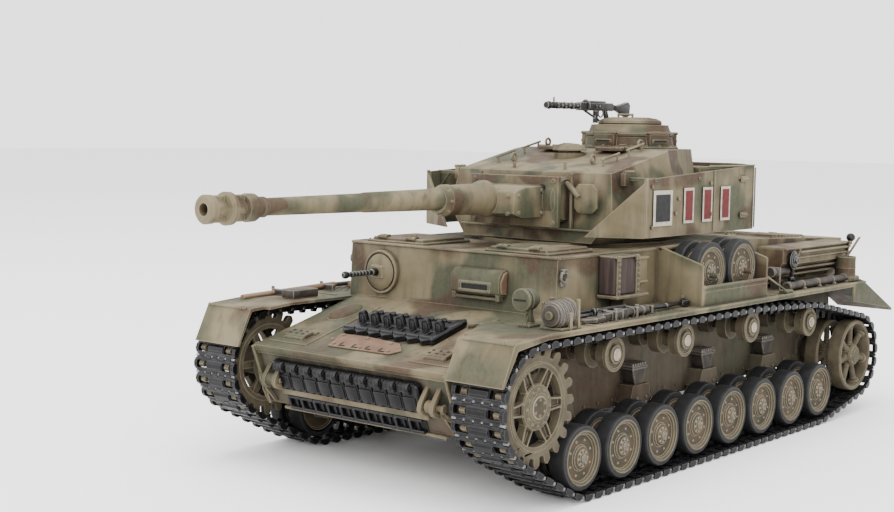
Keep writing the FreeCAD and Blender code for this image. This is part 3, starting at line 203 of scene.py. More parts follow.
def ring(centre, axis, radius, thick, steps=32, sides=8):
    """Round wire ring."""
    wire = [(thick * math.sin(math.tau * i / sides), radius + thick * math.cos(math.tau * i / sides))
            for i in range(sides + 1)]
    return turned(wire, centre, axis, steps)


# ---- workshop: copying and joining --------------------------------------------------------
def painted(piece, material):
    piece.data.materials.clear()
    piece.data.materials.append(material)
    return piece


def copied(piece, matrix):
    """Another of the same piece with its own mesh, moved by a matrix in metres."""
    put_down()
    other = piece.copy()
    other.data = piece.data.copy()
    bpy.context.scene.collection.objects.link(other)
    other.data.transform(matrix)
    if matrix.determinant() < 0:
        other.data.flip_normals()
    return other


def shifted(piece, *move):
    return copied(piece, Matrix.Translation(Vector(move) * MM))


def swung(piece, centre, axis, degrees):
    centre = Vector(centre) * MM
    turn = Matrix.Rotation(math.radians(degrees), 4, AXES[axis])
    return copied(piece, Matrix.Translation(centre) @ turn @ Matrix.Translation(-centre))


def around(piece, centre, axis, count):
    """The piece and its copies spread evenly about an axis."""
    return [piece] + [swung(piece, centre, axis, 360 * i / count) for i in range(1, count)]


def mirrored(piece, y=0.0):
    """Copy on the other side of the plane at that y."""
    centre = Matrix.Translation((0, y * MM, 0))
    return copied(piece, centre @ Matrix.Scale(-1, 4, AXES["y"]) @ centre.inverted())


def joined(name, pieces):
    pieces = list(pieces)
    put_down()
    for piece in pieces:
        piece.select_set(True)
    bpy.context.view_layer.objects.active = pieces[0]
    if len(pieces) > 1:
        bpy.ops.object.join()
    whole = bpy.context.object
    whole.name = name
    whole.data.name = name
    return whole


def laid(pieces, matrix):
    """Pieces modelled flat at the origin, carried onto a plate by its matrix."""
    for piece in pieces:
        piece.data.transform(matrix)
    return pieces


def plate_frame(origin, along, normal):
    """Matrix of a plate: its own x runs along, its own z stands up from it."""
    along, normal = Vector(along).normalized(), Vector(normal).normalized()
    across = normal.cross(along)
    turn = Matrix((along, across, normal)).transposed().to_4x4()
    return Matrix.Translation(Vector(origin) * MM) @ turn


def fitted(piece, body, slot, *nodes, angle=35):
    """Finished piece: smoothed, riding on its body, with the CAD nodes it stands for hidden. Its slot is not used.
    """
    smooth(piece, angle)
    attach(piece, body)
    if nodes:
        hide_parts(*nodes)
    return piece


def mm_box(node):
    low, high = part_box(node)
    return low / MM, high / MM


def middle(node):
    low, high = mm_box(node)
    return (low + high) / 2


def islands(node):
    """Boxes of the separate solids of a CAD node, in its own order."""
    mesh = frame["nodes"][node].data
    places = {}
    parent = []
    index = []
    for vert in mesh.vertices:
        key = tuple(round(value / TINY) for value in vert.co)
        if key not in places:
            places[key] = len(parent)
            parent.append(len(parent))
        index.append(places[key])

    def root(i):
        while parent[i] != i:
            parent[i] = parent[parent[i]]
            i = parent[i]
        return i

    for face in mesh.polygons:
        first = root(index[face.vertices[0]])
        for vertex in face.vertices[1:]:
            parent[root(index[vertex])] = first
    groups = {}
    for vert, i in zip(mesh.vertices, index):
        groups.setdefault(root(i), []).append(vert.co / MM)
    boxes = []
    for points in groups.values():
        low = Vector([min(p[k] for p in points) for k in range(3)])
        high = Vector([max(p[k] for p in points) for k in range(3)])
        boxes.append((low, high))
    return sorted(boxes, key=lambda box: (-round(box[1].x, 1), box[1].y))


# ---- finishes -----------------------------------------------------------------------------
SAND = (0.088, 0.070, 0.038, 1)
SAND_LIGHT = (0.135, 0.111, 0.066, 1)
GREEN = (0.025, 0.032, 0.017, 1)
BROWN = (0.038, 0.019, 0.010, 1)
# Near-black brown: real dirt in the streaks, and painted shade in the recesses.
DIRT_AND_RECESS_SHADE = (0.007, 0.005, 0.004, 1)
DUST = (0.072, 0.057, 0.037, 1)
BARE_EDGE = (0.23, 0.195, 0.13, 1)


def add_node(tree, kind, values=(), links=()):
    node = tree.nodes.new("ShaderNode" + kind)
    for socket, value in values:
        node.inputs[socket].default_value = value
    for socket, output in links:
        tree.links.new(output, node.inputs[socket])
    return node


def object_place(tree, offset=(0, 0, 0), stretch=(1, 1, 1)):
    place = add_node(tree, "TexCoord").outputs["Object"]
    mapping = add_node(tree, "Mapping", [("Location", offset), ("Scale", stretch)], [("Vector", place)])
    return mapping.outputs["Vector"]


def noise(tree, size, detail=2.0, offset=(0, 0, 0), stretch=(1, 1, 1), distortion=0.0):
    """Noise whose patches are about that many millimetres across."""
    node = add_node(tree, "TexNoise",
                    [("Scale", 1 / (size * MM)), ("Detail", detail), ("Distortion", distortion)],
                    [("Vector", object_place(tree, offset, stretch))])
    return node.outputs["Fac"]


def between(tree, value, low, high):
    """0 below low, 1 above high, an even rise between."""
    node = add_node(tree, "MapRange", [("From Min", low), ("From Max", high)], [("Value", value)])
    return node.outputs["Result"]


def mixed(tree, share, first, second, blend="MIX"):
    """Colour that goes from first to second; either may be a colour or an output."""
    node = tree.nodes.new("ShaderNodeMix")
    node.data_type = "RGBA"
    node.blend_type = blend
    for socket, value in ((0, share), (6, first), (7, second)):
        if isinstance(value, bpy.types.NodeSocket):
            tree.links.new(value, node.inputs[socket])
        else:
            node.inputs[socket].default_value = value
    return node.outputs[2]


def scaled(tree, value, factor):
    node = tree.nodes.new("ShaderNodeMath")
    node.operation = "MULTIPLY"
    tree.links.new(value, node.inputs[0])
    node.inputs[1].default_value = factor
    return node.outputs[0]


def edges(tree, radius):
    """1 on the edges of a shape, 0 on its flats."""
    bent = add_node(tree, "Bevel", [("Radius", radius * MM)])
    bent.samples = 4
    flat = add_node(tree, "NewGeometry")
    dot = add_node(tree, "VectorMath", links=[(0, bent.outputs["Normal"]), (1, flat.outputs["Normal"])])
    dot.operation = "DOT_PRODUCT"
    return between(tree, dot.outputs["Value"], 0.995, 0.90)


def recess_shade_mask(tree, reach):
    """Painted shade mask from ambient occlusion: 1 in recesses and along joins, 0 in the open."""
    shade = add_node(tree, "AmbientOcclusion", [("Distance", reach * MM)])
    shade.samples = 4
    return between(tree, shade.outputs["AO"], 0.80, 0.30)


def bumped(tree, shader, height, depth, strength=0.5):
    bump = add_node(tree, "Bump", [("Strength", strength), ("Distance", depth * MM)], [("Height", height)])
    tree.links.new(bump.outputs["Normal"], shader.inputs["Normal"])


def new_finish(name, roughness=0.8, metallic=0.0, specular=0.3):
    material = bpy.data.materials.new(name)
    material.use_nodes = True
    shader = material.node_tree.nodes["Principled BSDF"]
    shader.inputs["Roughness"].default_value = roughness
    shader.inputs["Metallic"].default_value = metallic
    shader.inputs["Specular IOR Level"].default_value = specular
    return material, material.node_tree, shader


def shade_and_wear(tree, colour, wear=0.5, recess_shade_share=0.75, edge_colour=BARE_EDGE, reach=2.2):
    """Painted shade in the recesses, from ambient occlusion, and lighter rubbed edges over a colour."""
    # Painted shade: the colour darkened where ambient occlusion finds recesses and joins.
    colour = mixed(tree, scaled(tree, recess_shade_mask(tree, reach), recess_shade_share), colour, DIRT_AND_RECESS_SHADE)
    return mixed(tree, scaled(tree, edges(tree, 0.3), wear), colour, edge_colour)


def camouflage(name, offset, blotch=15.0, dust_top=34.0, sand=SAND, light=SAND_LIGHT):
    """Matt sand paint with soft green and brown blotches, dust low down, streaks, painted shade in the recesses and
    worn edges.
    """
    material, tree, shader = new_finish(name, 0.82, 0.0, 0.25)
    x, y, z = offset
    colour = mixed(tree, between(tree, noise(tree, 9, 3, offset), 0.35, 0.65), sand, light)
    green = between(tree, noise(tree, blotch, 1.5, (x + 0.3, y, z), distortion=0.5), 0.48, 0.57)
    colour = mixed(tree, scaled(tree, green, 0.85), colour, GREEN)
    brown = between(tree, noise(tree, blotch * 0.9, 1.5, (x, y + 0.7, z), distortion=0.5), 0.53, 0.60)
    colour = mixed(tree, scaled(tree, brown, 0.85), colour, BROWN)
    height = add_node(tree, "SeparateXYZ", links=[("Vector", object_place(tree))]).outputs["Z"]
    low = between(tree, height, dust_top * MM, 4 * MM)
    patches = between(tree, noise(tree, 5, 3, offset), 0.30, 0.72)
    dusty = add_node(tree, "Math", links=[(0, low), (1, patches)])
    dusty.operation = "MULTIPLY"
    colour = mixed(tree, dusty.outputs[0], colour, DUST)
    streaks = between(tree, noise(tree, 1.6, 3, offset, (1, 1, 0.10)), 0.50, 0.78)
    colour = mixed(tree, scaled(tree, streaks, 0.42), colour, DIRT_AND_RECESS_SHADE)
    speckle = between(tree, noise(tree, 0.8, 4, offset), 0.30, 0.75)
    colour = mixed(tree, scaled(tree, speckle, 0.16), colour, light)
    tree.links.new(shade_and_wear(tree, colour), shader.inputs["Base Color"])
    tree.links.new(between(tree, noise(tree, 3, 3, offset), -0.9, 1.0), shader.inputs["Roughness"])
    bumped(tree, shader, noise(tree, 0.5, 3, offset), 0.05)
    return material


def mottled(name, first, second, size, roughness=0.8, metallic=0.0, wear=0.4, recess_shade_share=0.75,
            edge_colour=BARE_EDGE,
            depth=0.05, grain=0.5, specular=0.3):
    """Plain finish that shifts between two tones, with a fine grain, painted shade in the recesses and worn edges.
    """
    material, tree, shader = new_finish(name, roughness, metallic, specular)
    colour = mixed(tree, between(tree, noise(tree, size, 3), 0.35, 0.68), first, second)
    tree.links.new(shade_and_wear(tree, colour, wear, recess_shade_share, edge_colour, 1.6), shader.inputs["Base Color"])
    bumped(tree, shader, noise(tree, grain, 4), depth)
    return material


def grained(name, first, second, along):
    """Wood or brushed metal: long grain along one axis."""
    material, tree, shader = new_finish(name, 0.75)
    stretch = tuple(0.08 if key == along else 1 for key in "xyz")
    lines = noise(tree, 0.7, 4, stretch=stretch)
    colour = mixed(tree, between(tree, lines, 0.35, 0.7), first, second)
    tree.links.new(shade_and_wear(tree, colour, 0.3, 0.8, second), shader.inputs["Base Color"])
    bumped(tree, shader, lines, 0.06)
    return material


FINISH = {
    "hull_paint": camouflage("hull_paint", (0.0, 0.0, 0.0), blotch=17),
    "turret_paint": camouflage("turret_paint", (0.11, 0.05, 0.02), blotch=13, dust_top=20),
    "gun_paint": camouflage("gun_paint", (0.32, 0.25, 0.12), blotch=9, dust_top=20),
    # Darker copy of the hull camouflage for the tub, bogies and side bolts under the fenders: painted shade.
    "tub_shaded_paint": camouflage("tub_shaded_paint", (0.51, 0.15, 0.32), blotch=40, dust_top=48,
                            sand=(0.050, 0.041, 0.028, 1), light=(0.075, 0.063, 0.044, 1)),
    "wheel_paint": mottled("wheel_paint", (0.025, 0.021, 0.012, 1), (0.058, 0.038, 0.020, 1), 4.5,
                           wear=0.55, edge_colour=(0.42, 0.37, 0.27, 1)),
    "rim_paint": mottled("rim_paint", (0.070, 0.057, 0.034, 1), (0.040, 0.031, 0.018, 1), 3.0, wear=0.6),
    "tyre_rubber": mottled("tyre_rubber", (0.004, 0.004, 0.005, 1), (0.010, 0.010, 0.010, 1), 2.0, 0.7,
                           wear=0.35, edge_colour=(0.13, 0.125, 0.12, 1)),
    "track_black": mottled("track_black", (0.003, 0.003, 0.003, 1), (0.007, 0.006, 0.006, 1), 1.2, 0.45,
                           0.55,
                           wear=0.4, edge_colour=(0.09, 0.09, 0.10, 1), grain=0.35),
    "track_pin": mottled("track_pin", (0.13, 0.13, 0.13, 1), (0.07, 0.065, 0.06, 1), 0.9, 0.35, 0.9,
                         wear=0.3,
                         edge_colour=(0.6, 0.6, 0.6, 1)),
    "gun_metal": mottled("gun_metal", (0.010, 0.010, 0.009, 1), (0.028, 0.026, 0.023, 1), 1.5, 0.42, 0.7,
                         wear=0.7,
                         edge_colour=(0.30, 0.29, 0.28, 1), grain=0.3),
    "tools": mottled("tools", (0.020, 0.018, 0.016, 1), (0.052, 0.041, 0.030, 1), 2.0, 0.6, 0.3, wear=0.6,
                     edge_colour=(0.36, 0.33, 0.28, 1)),
    "brown_paint": mottled("brown_paint", (0.095, 0.050, 0.030, 1), (0.130, 0.078, 0.048, 1), 2.5,
                           wear=0.5),
    "dark_wood": grained("dark_wood", (0.022, 0.014, 0.012, 1), (0.046, 0.030, 0.025, 1), "z"),
    "handle_wood": grained("handle_wood", (0.11, 0.068, 0.036, 1), (0.20, 0.13, 0.075, 1), "x"),
    "bright_cap": mottled("bright_cap", (0.26, 0.22, 0.16, 1), (0.16, 0.135, 0.095, 1), 1.5, 0.35, 0.4,
                          wear=0.6,
                          edge_colour=(0.75, 0.72, 0.64, 1)),
    "screw_steel": mottled("screw_steel", (0.40, 0.40, 0.41, 1), (0.28, 0.28, 0.29, 1), 1.0, 0.3, 1.0,
                           wear=0.2),
    "motor_steel": mottled("motor_steel", (0.45, 0.45, 0.46, 1), (0.34, 0.34, 0.36, 1), 3.0, 0.35, 0.95,
                           wear=0.1),
    "gear_plastic": mottled("gear_plastic", (0.72, 0.70, 0.64, 1), (0.62, 0.60, 0.54, 1), 2.0, 0.5,
                            wear=0.0,
                            recess_shade_share=0.4),
    "board": mottled("board", (0.02, 0.10, 0.04, 1), (0.03, 0.15, 0.06, 1), 1.0, 0.4, wear=0.1, recess_shade_share=0.4),
    "cells": mottled("cells", (0.05, 0.09, 0.22, 1), (0.06, 0.11, 0.26, 1), 4.0, 0.3, wear=0.0, recess_shade_share=0.4),
    "black_plastic": mottled("black_plastic", (0.020, 0.020, 0.021, 1), (0.030, 0.030, 0.031, 1), 2.0, 0.55,
                             wear=0.15, edge_colour=(0.08, 0.08, 0.08, 1)),
    "white_mark": mottled("white_mark", (0.36, 0.33, 0.28, 1), (0.24, 0.21, 0.17, 1), 1.2, wear=0.1,
                          recess_shade_share=0.3),
    "red_mark": mottled("red_mark", (0.10, 0.010, 0.010, 1), (0.06, 0.009, 0.008, 1), 1.2, wear=0.1,
                        recess_shade_share=0.3),
    "dark_mark": mottled("dark_mark", (0.007, 0.007, 0.008, 1), (0.014, 0.014, 0.014, 1), 1.2, wear=0.1,
                         recess_shade_share=0.3),
    # Painted shade: near-black for the insides of holes, slits, openings and the bore, where there is only shade.
    "hole_shade": mottled("hole_shade", (0.006, 0.006, 0.006, 1), (0.010, 0.010, 0.009, 1), 1.0, 0.9,
                         wear=0.0),
}


def finished_nodes(finish, *nodes):
    """CAD nodes that stay in view, given a procedural finish."""
    for node in nodes:
        mesh = frame["nodes"][node].data
        mesh.materials.clear()
        mesh.materials.append(FINISH[finish])


# ---- places that many pieces share --------------------------------------------------------
SIDES = (("left", 1), ("right", -1))
TRACK_W = 11.4
TRACK_T = 1.55
TRACK_PLAY = 0.2
TRACK_MID = mm_box("tracks")[1].y - TRACK_W / 2
WHEELS = 8
SPROCKET = middle("left_sprocket")
IDLER = middle("left_idler")
SPROCKET_TEETH = 20
SPROCKET_R = (mm_box("left_sprocket")[1].x - mm_box("left_sprocket")[0].x) / 2
HALF_TURN = Matrix.Rotation(math.pi, 4, "Z")


def track_spot(node):
    """Centre of a wheel of the running gear, at the middle of its track."""
    spot = middle(node)
    spot.y = TRACK_MID if spot.y > 0 else -TRACK_MID
    return spot


def placed_wheel(wheel, source, target):
    """Copy of a left wheel at another wheel's centre, turned round for the right side."""
    turn = HALF_TURN if target.y < 0 else Matrix.Identity(4)
    return copied(wheel, Matrix.Translation(target * MM) @ turn @ Matrix.Translation(-source * MM))


# ---- tracks -------------------------------------------------------------------------------
def track_outline():
    """Middle line of a tight track round its wheels, from the front of the sprocket upward."""
    half = TRACK_T / 2
    circles = [(SPROCKET.x, SPROCKET.z, SPROCKET_R + TRACK_PLAY - 0.05 + half)]
    runners = ["left_idler"] + ["left_road_wheel_%d" % (i + 1) for i in range(WHEELS)]
    for node in runners + ["left_return_roller_%d" % (i + 1) for i in range(4)]:
        low, high = mm_box(node)
        spot = (low + high) / 2
        circles.append((spot.x, spot.z, (high.x - low.x) / 2 + TRACK_PLAY + half))
    points = []
    for step in range(1440):
        a = math.tau * step / 1440
        x, z, r = max(circles, key=lambda c: c[0] * math.cos(a) + c[1] * math.sin(a) + c[2])
        points.append((x + r * math.cos(a), z + r * math.sin(a)))
    return points + [points[0]]


def even_stops(points, pitch):
    """Points spaced evenly along a closed line, as near to the pitch as a whole number allows."""
    reach = [0.0]
    for (x0, z0), (x1, z1) in zip(points, points[1:]):
        reach.append(reach[-1] + math.hypot(x1 - x0, z1 - z0))
    count = round(reach[-1] / pitch)
    stops = []
    i = 0
    for link in range(count):
        wanted = (link + 0.5) * reach[-1] / count
        while reach[i + 1] < wanted:
            i += 1
        share = (wanted - reach[i]) / (reach[i + 1] - reach[i])
        (x0, z0), (x1, z1) = points[i], points[i + 1]
        stops.append((x0 + (x1 - x0) * share, z0 + (z1 - z0) * share))
    return stops


LINK_PITCH = 3.495


def link_body(horn):
    """One cast link at the origin: two tooth openings, guide horn below, cleats above."""
    half = TRACK_W / 2
    pieces = [
        block((0.85, -half, -0.45), (1.45, half, 0.40), 0),
        block((-1.45, -half, -0.45), (-0.85, half, 0.40), 0),
        block((-0.9, -2.4, -0.45), (0.9, 2.4, 0.45), 0),
        side_plate([(-1.0, 0.35), (1.0, 0.35), (0.35, 0.78), (-0.55, 0.78)], -2.2, 2.2, 0),
        side_plate([(-horn * 0.5, -0.4), (horn * 0.5, -0.4), (horn * 0.18, -horn), (-horn * 0.30, -horn)],
                   -0.45, 0.45, 0),
    ]
    for side in (-1, 1):
        end = side_plate([(-1.1, -0.5), (1.1, -0.5), (1.25, 0.3), (0.45, 0.80), (-0.45, 0.80),
                          (-1.25, 0.3)],
                         side * half - 0.42, side * half + 0.42, 0)
        knuckle = block((-2.1, side * 2.1 - 0.8, -0.42), (-1.3, side * 2.1 + 0.8, 0.42), 0)
        pieces += [end, knuckle]
    for y in (-4.2, 0, 4.2):
        pieces.append(block((1.3, y - 0.7, -0.42), (2.1, y + 0.7, 0.42), 0))
    return painted(joined("link_body", pieces), FINISH["track_black"])


def link_pin():
    pin = rod((LINK_PITCH / 2, -TRACK_W / 2 - 0.28, 0), (LINK_PITCH / 2, TRACK_W / 2 + 0.28, 0), 0.34, 6)
    return painted(pin, FINISH["track_pin"])


def make_tracks():
    link = joined("link", [link_body(2.1), link_pin()])
    stops = even_stops(track_outline(), LINK_PITCH)
    for name, side in SIDES:
        links = []
        for i, (x1, z1) in enumerate(stops):
            x0, z0 = stops[i - 1]
            along = Vector((x1 - x0, 0, z1 - z0)).normalized()
            out = Vector((along.z, 0, -along.x))
            place = ((x0 + x1) / 2, side * TRACK_MID, (z0 + z1) / 2)
            links.append(copied(link, plate_frame(place, along, out)))
        track = joined(name + "_track", links)
        fitted(track, "hull", "track_black", "tracks", angle=20)
    bpy.data.objects.remove(link)


# ---- wheels -------------------------------------------------------------------------------
def bolts(centre, axis, circle, count, radius, height, start=0.0, sides=6):
    """Ring of bolt heads that stand out along an axis, measured from centre."""
    centre = Vector(centre)
    out = AXES["z"] if axis != "z" else AXES["x"]
    heads = []
    for i in range(count):
        turn = Matrix.Rotation(math.tau * (i + start) / count, 3, AXES[axis])
        spot = centre + turn @ (out * circle)
        heads.append(rod(spot, spot + AXES[axis] * height, radius, sides))
    return heads


def make_road_wheels():
    spot = track_spot("left_road_wheel_1")
    low, high = mm_box("left_road_wheel_1")
    r = (high.x - low.x) / 2
    rubber, metal, dish = [], [], []
    for side in (1, -1):
        tyre = [(1.3, r - 1.5), (1.3, r - 0.2), (1.5, r - 0.03), (1.8, r), (4.3, r), (4.62, r - 0.07),
                (4.85, r - 0.3),
                (4.9, r - 0.62), (4.84, r - 0.98), (4.5, r - 1.12), (1.6, r - 1.5), (1.3, r - 1.5)]
        rubber.append(turned([(side * y, q) for y, q in tyre], spot, steps=56))
    rim = [(3.4, r - 1.55), (4.5, r - 1.05), (4.93, r - 1.06), (5.0, r - 1.16), (4.93, r - 1.30),
           (4.55, r - 1.36),
           (4.45, r - 1.52), (4.60, r - 1.62), (4.58, r - 1.78), (4.2, r - 1.9), (3.4, r - 1.9), (3.4,
               r - 1.55)]
    metal.append(turned(rim, spot, steps=56))
    face = [(-4.7, 0), (-4.7, 1.6), (-4.3, 2.0), (-4.2, 4.4), (-4.6, 4.9), (-1.4, 4.9), (-1.2, 4.3),
            (1.2, 4.3),
            (1.4, 4.9), (3.6, 4.9), (4.15, 4.5), (4.02, 3.9), (4.18, 3.2), (4.05, 2.5), (4.45,
                2.32), (4.55, 1.9),
            (4.75, 1.72), (4.8, 1.0), (5.15, 0.85), (5.22, 0.62), (5.1, 0.45), (5.1, 0)]
    dish.append(turned(face, spot, steps=48))
    dish += bolts(spot + Vector((0, 4.68, 0)), "y", 1.42, 8, 0.17, 0.25)
    dish += bolts(spot + Vector((0, 4.0, 0)), "y", 3.5, 8, 0.16, 0.28, 0.5)
    cap = painted(rod(spot + Vector((0, 4.9, 0)), spot + Vector((0, 5.38, 0)), 0.42, 6, 0.06),
                  FINISH["tools"])
    wheel = joined("wheel", [painted(joined("tyres", rubber), FINISH["tyre_rubber"]),
                             painted(joined("rim", metal), FINISH["rim_paint"]),
                             painted(joined("dish", dish), FINISH["wheel_paint"]), cap])
    for name, side in SIDES:
        for i in range(WHEELS):
            node = "%s_road_wheel_%d" % (name, i + 1)
            turn = Matrix.Rotation(math.radians(47 * i), 4, "Y")
            at = Matrix.Translation(spot * MM)
            turned_wheel = copied(wheel, at @ turn @ at.inverted())
            piece = placed_wheel(turned_wheel, spot, track_spot(node))
            bpy.data.objects.remove(turned_wheel)
            piece.name = node + "_wheel"
            fitted(piece, node, "wheel_paint", node)
    return wheel, spot, r


def make_return_rollers():
    spot = track_spot("left_return_roller_1")
    low, high = mm_box("left_return_roller_1")
    r = (high.x - low.x) / 2
    drum = [(-3.7, 0), (-3.7, r), (-1.3, r), (-1.1, r - 1.5), (1.1, r - 1.5), (1.3, r), (3.0, r),
            (3.15, r + 0.28),
            (3.75, r + 0.28), (3.9, r + 0.1), (3.85, r - 0.5), (3.5, r - 0.7), (3.5, r - 1.2), (4.1,
                r - 1.3),
            (4.2, r - 1.5), (4.15, r - 1.75), (3.9, r - 1.8), (3.9, 0)]
    body = painted(turned(drum, spot), FINISH["rim_paint"])
    cap = turned([(3.8, 0), (3.8, 1.3), (4.35, 1.2), (4.62, 0.8), (4.7, 0)], spot, steps=24)
    roller = joined("roller", [body, painted(cap, FINISH["bright_cap"])])
    for name, _ in SIDES:
        for i in range(4):
            node = "%s_return_roller_%d" % (name, i + 1)
            piece = placed_wheel(roller, spot, track_spot(node))
            piece.name = node + "_drum"
            fitted(piece, node, "wheel_paint", node)
    bpy.data.objects.remove(roller)


def toothed_ring(spot, y0, y1, inner, root, tip):
    """Drive ring with blunt round-headed teeth."""
    steps = 10
    outline = []
    shape = [(0, tip - 0.12), (1, tip), (2, tip - 0.12), (3, tip - 0.55), (3.2, tip - 0.95), (3.6, root)]
    for i in range(SPROCKET_TEETH):
        for step, radius in shape:
            angle = math.tau * (i + (step - 1) / steps) / SPROCKET_TEETH
            outline.append((angle, radius))
        outline.append((math.tau * (i + 0.64) / SPROCKET_TEETH, root))
        angle = math.tau * (i + 1 - 0.32) / SPROCKET_TEETH
        outline += [(angle, tip - 0.95), (math.tau * (i + 1 - 0.30) / SPROCKET_TEETH, tip - 0.55)]
    points = [(spot.x + q * math.cos(a), spot.z + q * math.sin(a)) for a, q in sorted(outline)]
    disc = side_plate(points, y0, y1, 0)
    hole = rod((spot.x, y0 - 1, spot.z), (spot.x, y1 + 1, spot.z), inner, 80)
    take(disc)
    cut = disc.modifiers.new("hole", "BOOLEAN")
    cut.operation = "DIFFERENCE"
    cut.object = hole
    bpy.ops.object.modifier_apply(modifier=cut.name)
    bpy.data.objects.remove(hole)
    return eased(disc, 0.13, 2, 40)


def make_sprockets():
    spot = Vector((SPROCKET.x, TRACK_MID, SPROCKET.z))
    x, y, z = spot
    tip, root, rim = SPROCKET_R + 1.3, SPROCKET_R - 0.75, SPROCKET_R - 2.9
    steel = [toothed_ring(spot, y + 3.6, y + 4.9, rim + 0.6, root, tip),
             toothed_ring(spot, y - 4.2, y - 2.9, rim + 0.6, root, tip)]
    band = [(3.2, rim), (3.2, rim + 1.0), (5.0, rim + 1.0), (5.15, rim + 0.85), (5.15, rim + 0.25),
            (5.0, rim), (3.2, rim)]
    steel.append(turned(band, spot, steps=64))
    steel.append(turned([(-4.3, rim), (-4.3, rim + 0.9), (-2.6, rim + 0.9), (-2.6, rim), (-4.3, rim)],
                        spot, steps=48))
    hub = [(-4.2, 0), (-4.2, 3.0), (2.6, 3.0), (3.2, 4.1), (4.6, 4.35), (4.95, 4.15), (5.05, 3.7),
           (5.05, 2.9),
           (5.35, 2.7), (5.45, 2.3), (5.35, 0)]
    steel.append(turned(hub, spot, steps=48))
    steel += bolts(spot + Vector((0, 4.95, 0)), "y", 3.35, 12, 0.24, 0.32)
    steel += bolts(spot + Vector((0, 5.3, 0)), "y", 1.5, 6, 0.2, 0.25)
    ribs = []
    for lean in (-1, 1):
        rib = plate([(x + 4.0, y + 4.75, z + lean * 0.95), (x + rim + 0.3, y + 5.0, z + lean * 0.62),
                     (x + rim + 0.3, y + 3.4, z + lean * 0.62), (x + 3.4, y + 3.0, z + lean * 0.95)],
                    (0, 0, lean * 0.34), 0.06)
        ribs.append(rib)
    ribs.append(plate([(x + 3.6, y + 3.9, z - 1.0), (x + rim + 0.3, y + 4.2, z - 0.7),
                       (x + rim + 0.3, y + 4.2, z + 0.7), (x + 3.6, y + 3.9, z + 1.0)], (0, -0.4, 0), 0))
    ribs.append(block((x + 2.6, y - 4.0, z - 0.8), (x + rim + 0.3, y - 3.2, z + 0.8), 0.08))
    spoke = joined("spoke", ribs)
    spokes = around(spoke, spot, "y", 6)
    wheel = painted(joined("sprocket", steel + spokes), FINISH["rim_paint"])
    disc = painted(turned([(5.3, 0), (5.3, 2.2), (5.55, 2.0), (5.6, 0)], spot, steps=32),
                   FINISH["wheel_paint"])
    axle = painted(rod((x, TRACK_MID - 14.0, z), (x, y - 4.0, z), 1.5, 24, 0.1), FINISH["motor_steel"])
    wheel = joined("sprocket", [wheel, disc, axle])
    for name, side in SIDES:
        piece = placed_wheel(wheel, spot, Vector((x, side * TRACK_MID, z)))
        piece.name = name + "_sprocket_wheel"
        fitted(piece, name + "_sprocket", "wheel_paint", name + "_sprocket")
    bpy.data.objects.remove(wheel)


def make_idlers():
    spot = Vector((IDLER.x, TRACK_MID, IDLER.z))
    low, high = mm_box("left_idler")
    r = (high.x - low.x) / 2
    steel = []
    for y in (3.1, -3.1):
        hoop = [(-1.8, r - 0.35), (-1.5, r - 0.05), (-0.9, r), (0.9, r), (1.5, r - 0.05), (1.8, r - 0.35),
                (1.7, r - 0.95), (1.0, r - 1.35), (-1.0, r - 1.35), (-1.7, r - 0.95), (-1.8, r - 0.35)]
        steel.append(turned([(y + a, q) for a, q in hoop], spot, steps=56))
        tube = rod(spot + Vector((0, y, 1.6)), spot + Vector((0, y, r - 1.0)), 0.72, 14)
        flare = rod(spot + Vector((0, y, r - 2.3)), spot + Vector((0, y, r - 1.0)), 0.7, 14,
                    end_radius=1.35)
        foot = rod(spot + Vector((0, y, 2.0)), spot + Vector((0, y, 3.2)), 1.0, 14, end_radius=0.7)
        steel += around(joined("spoke", [tube, flare, foot]), spot, "y", 7)
    hub = [(-4.9, 0), (-4.9, 2.4), (-4.2, 2.7), (-2.4, 2.7), (-1.8, 1.8), (1.8, 1.8), (2.4, 2.7),
           (4.3, 2.7),
           (4.7, 2.4), (4.8, 1.9), (5.2, 1.7), (5.35, 1.3), (5.35, 0)]
    steel.append(turned(hub, spot, steps=40))
    steel += bolts(spot + Vector((0, 4.6, 0)), "y", 2.15, 8, 0.2, 0.3)
    wheel = painted(joined("idler", steel), FINISH["rim_paint"])
    for name, side in SIDES:
        piece = placed_wheel(wheel, spot, Vector((spot.x, side * TRACK_MID, spot.z)))
        piece.name = name + "_idler_wheel"
        fitted(piece, name + "_idler", "wheel_paint", name + "_idler")
    bpy.data.objects.remove(wheel)


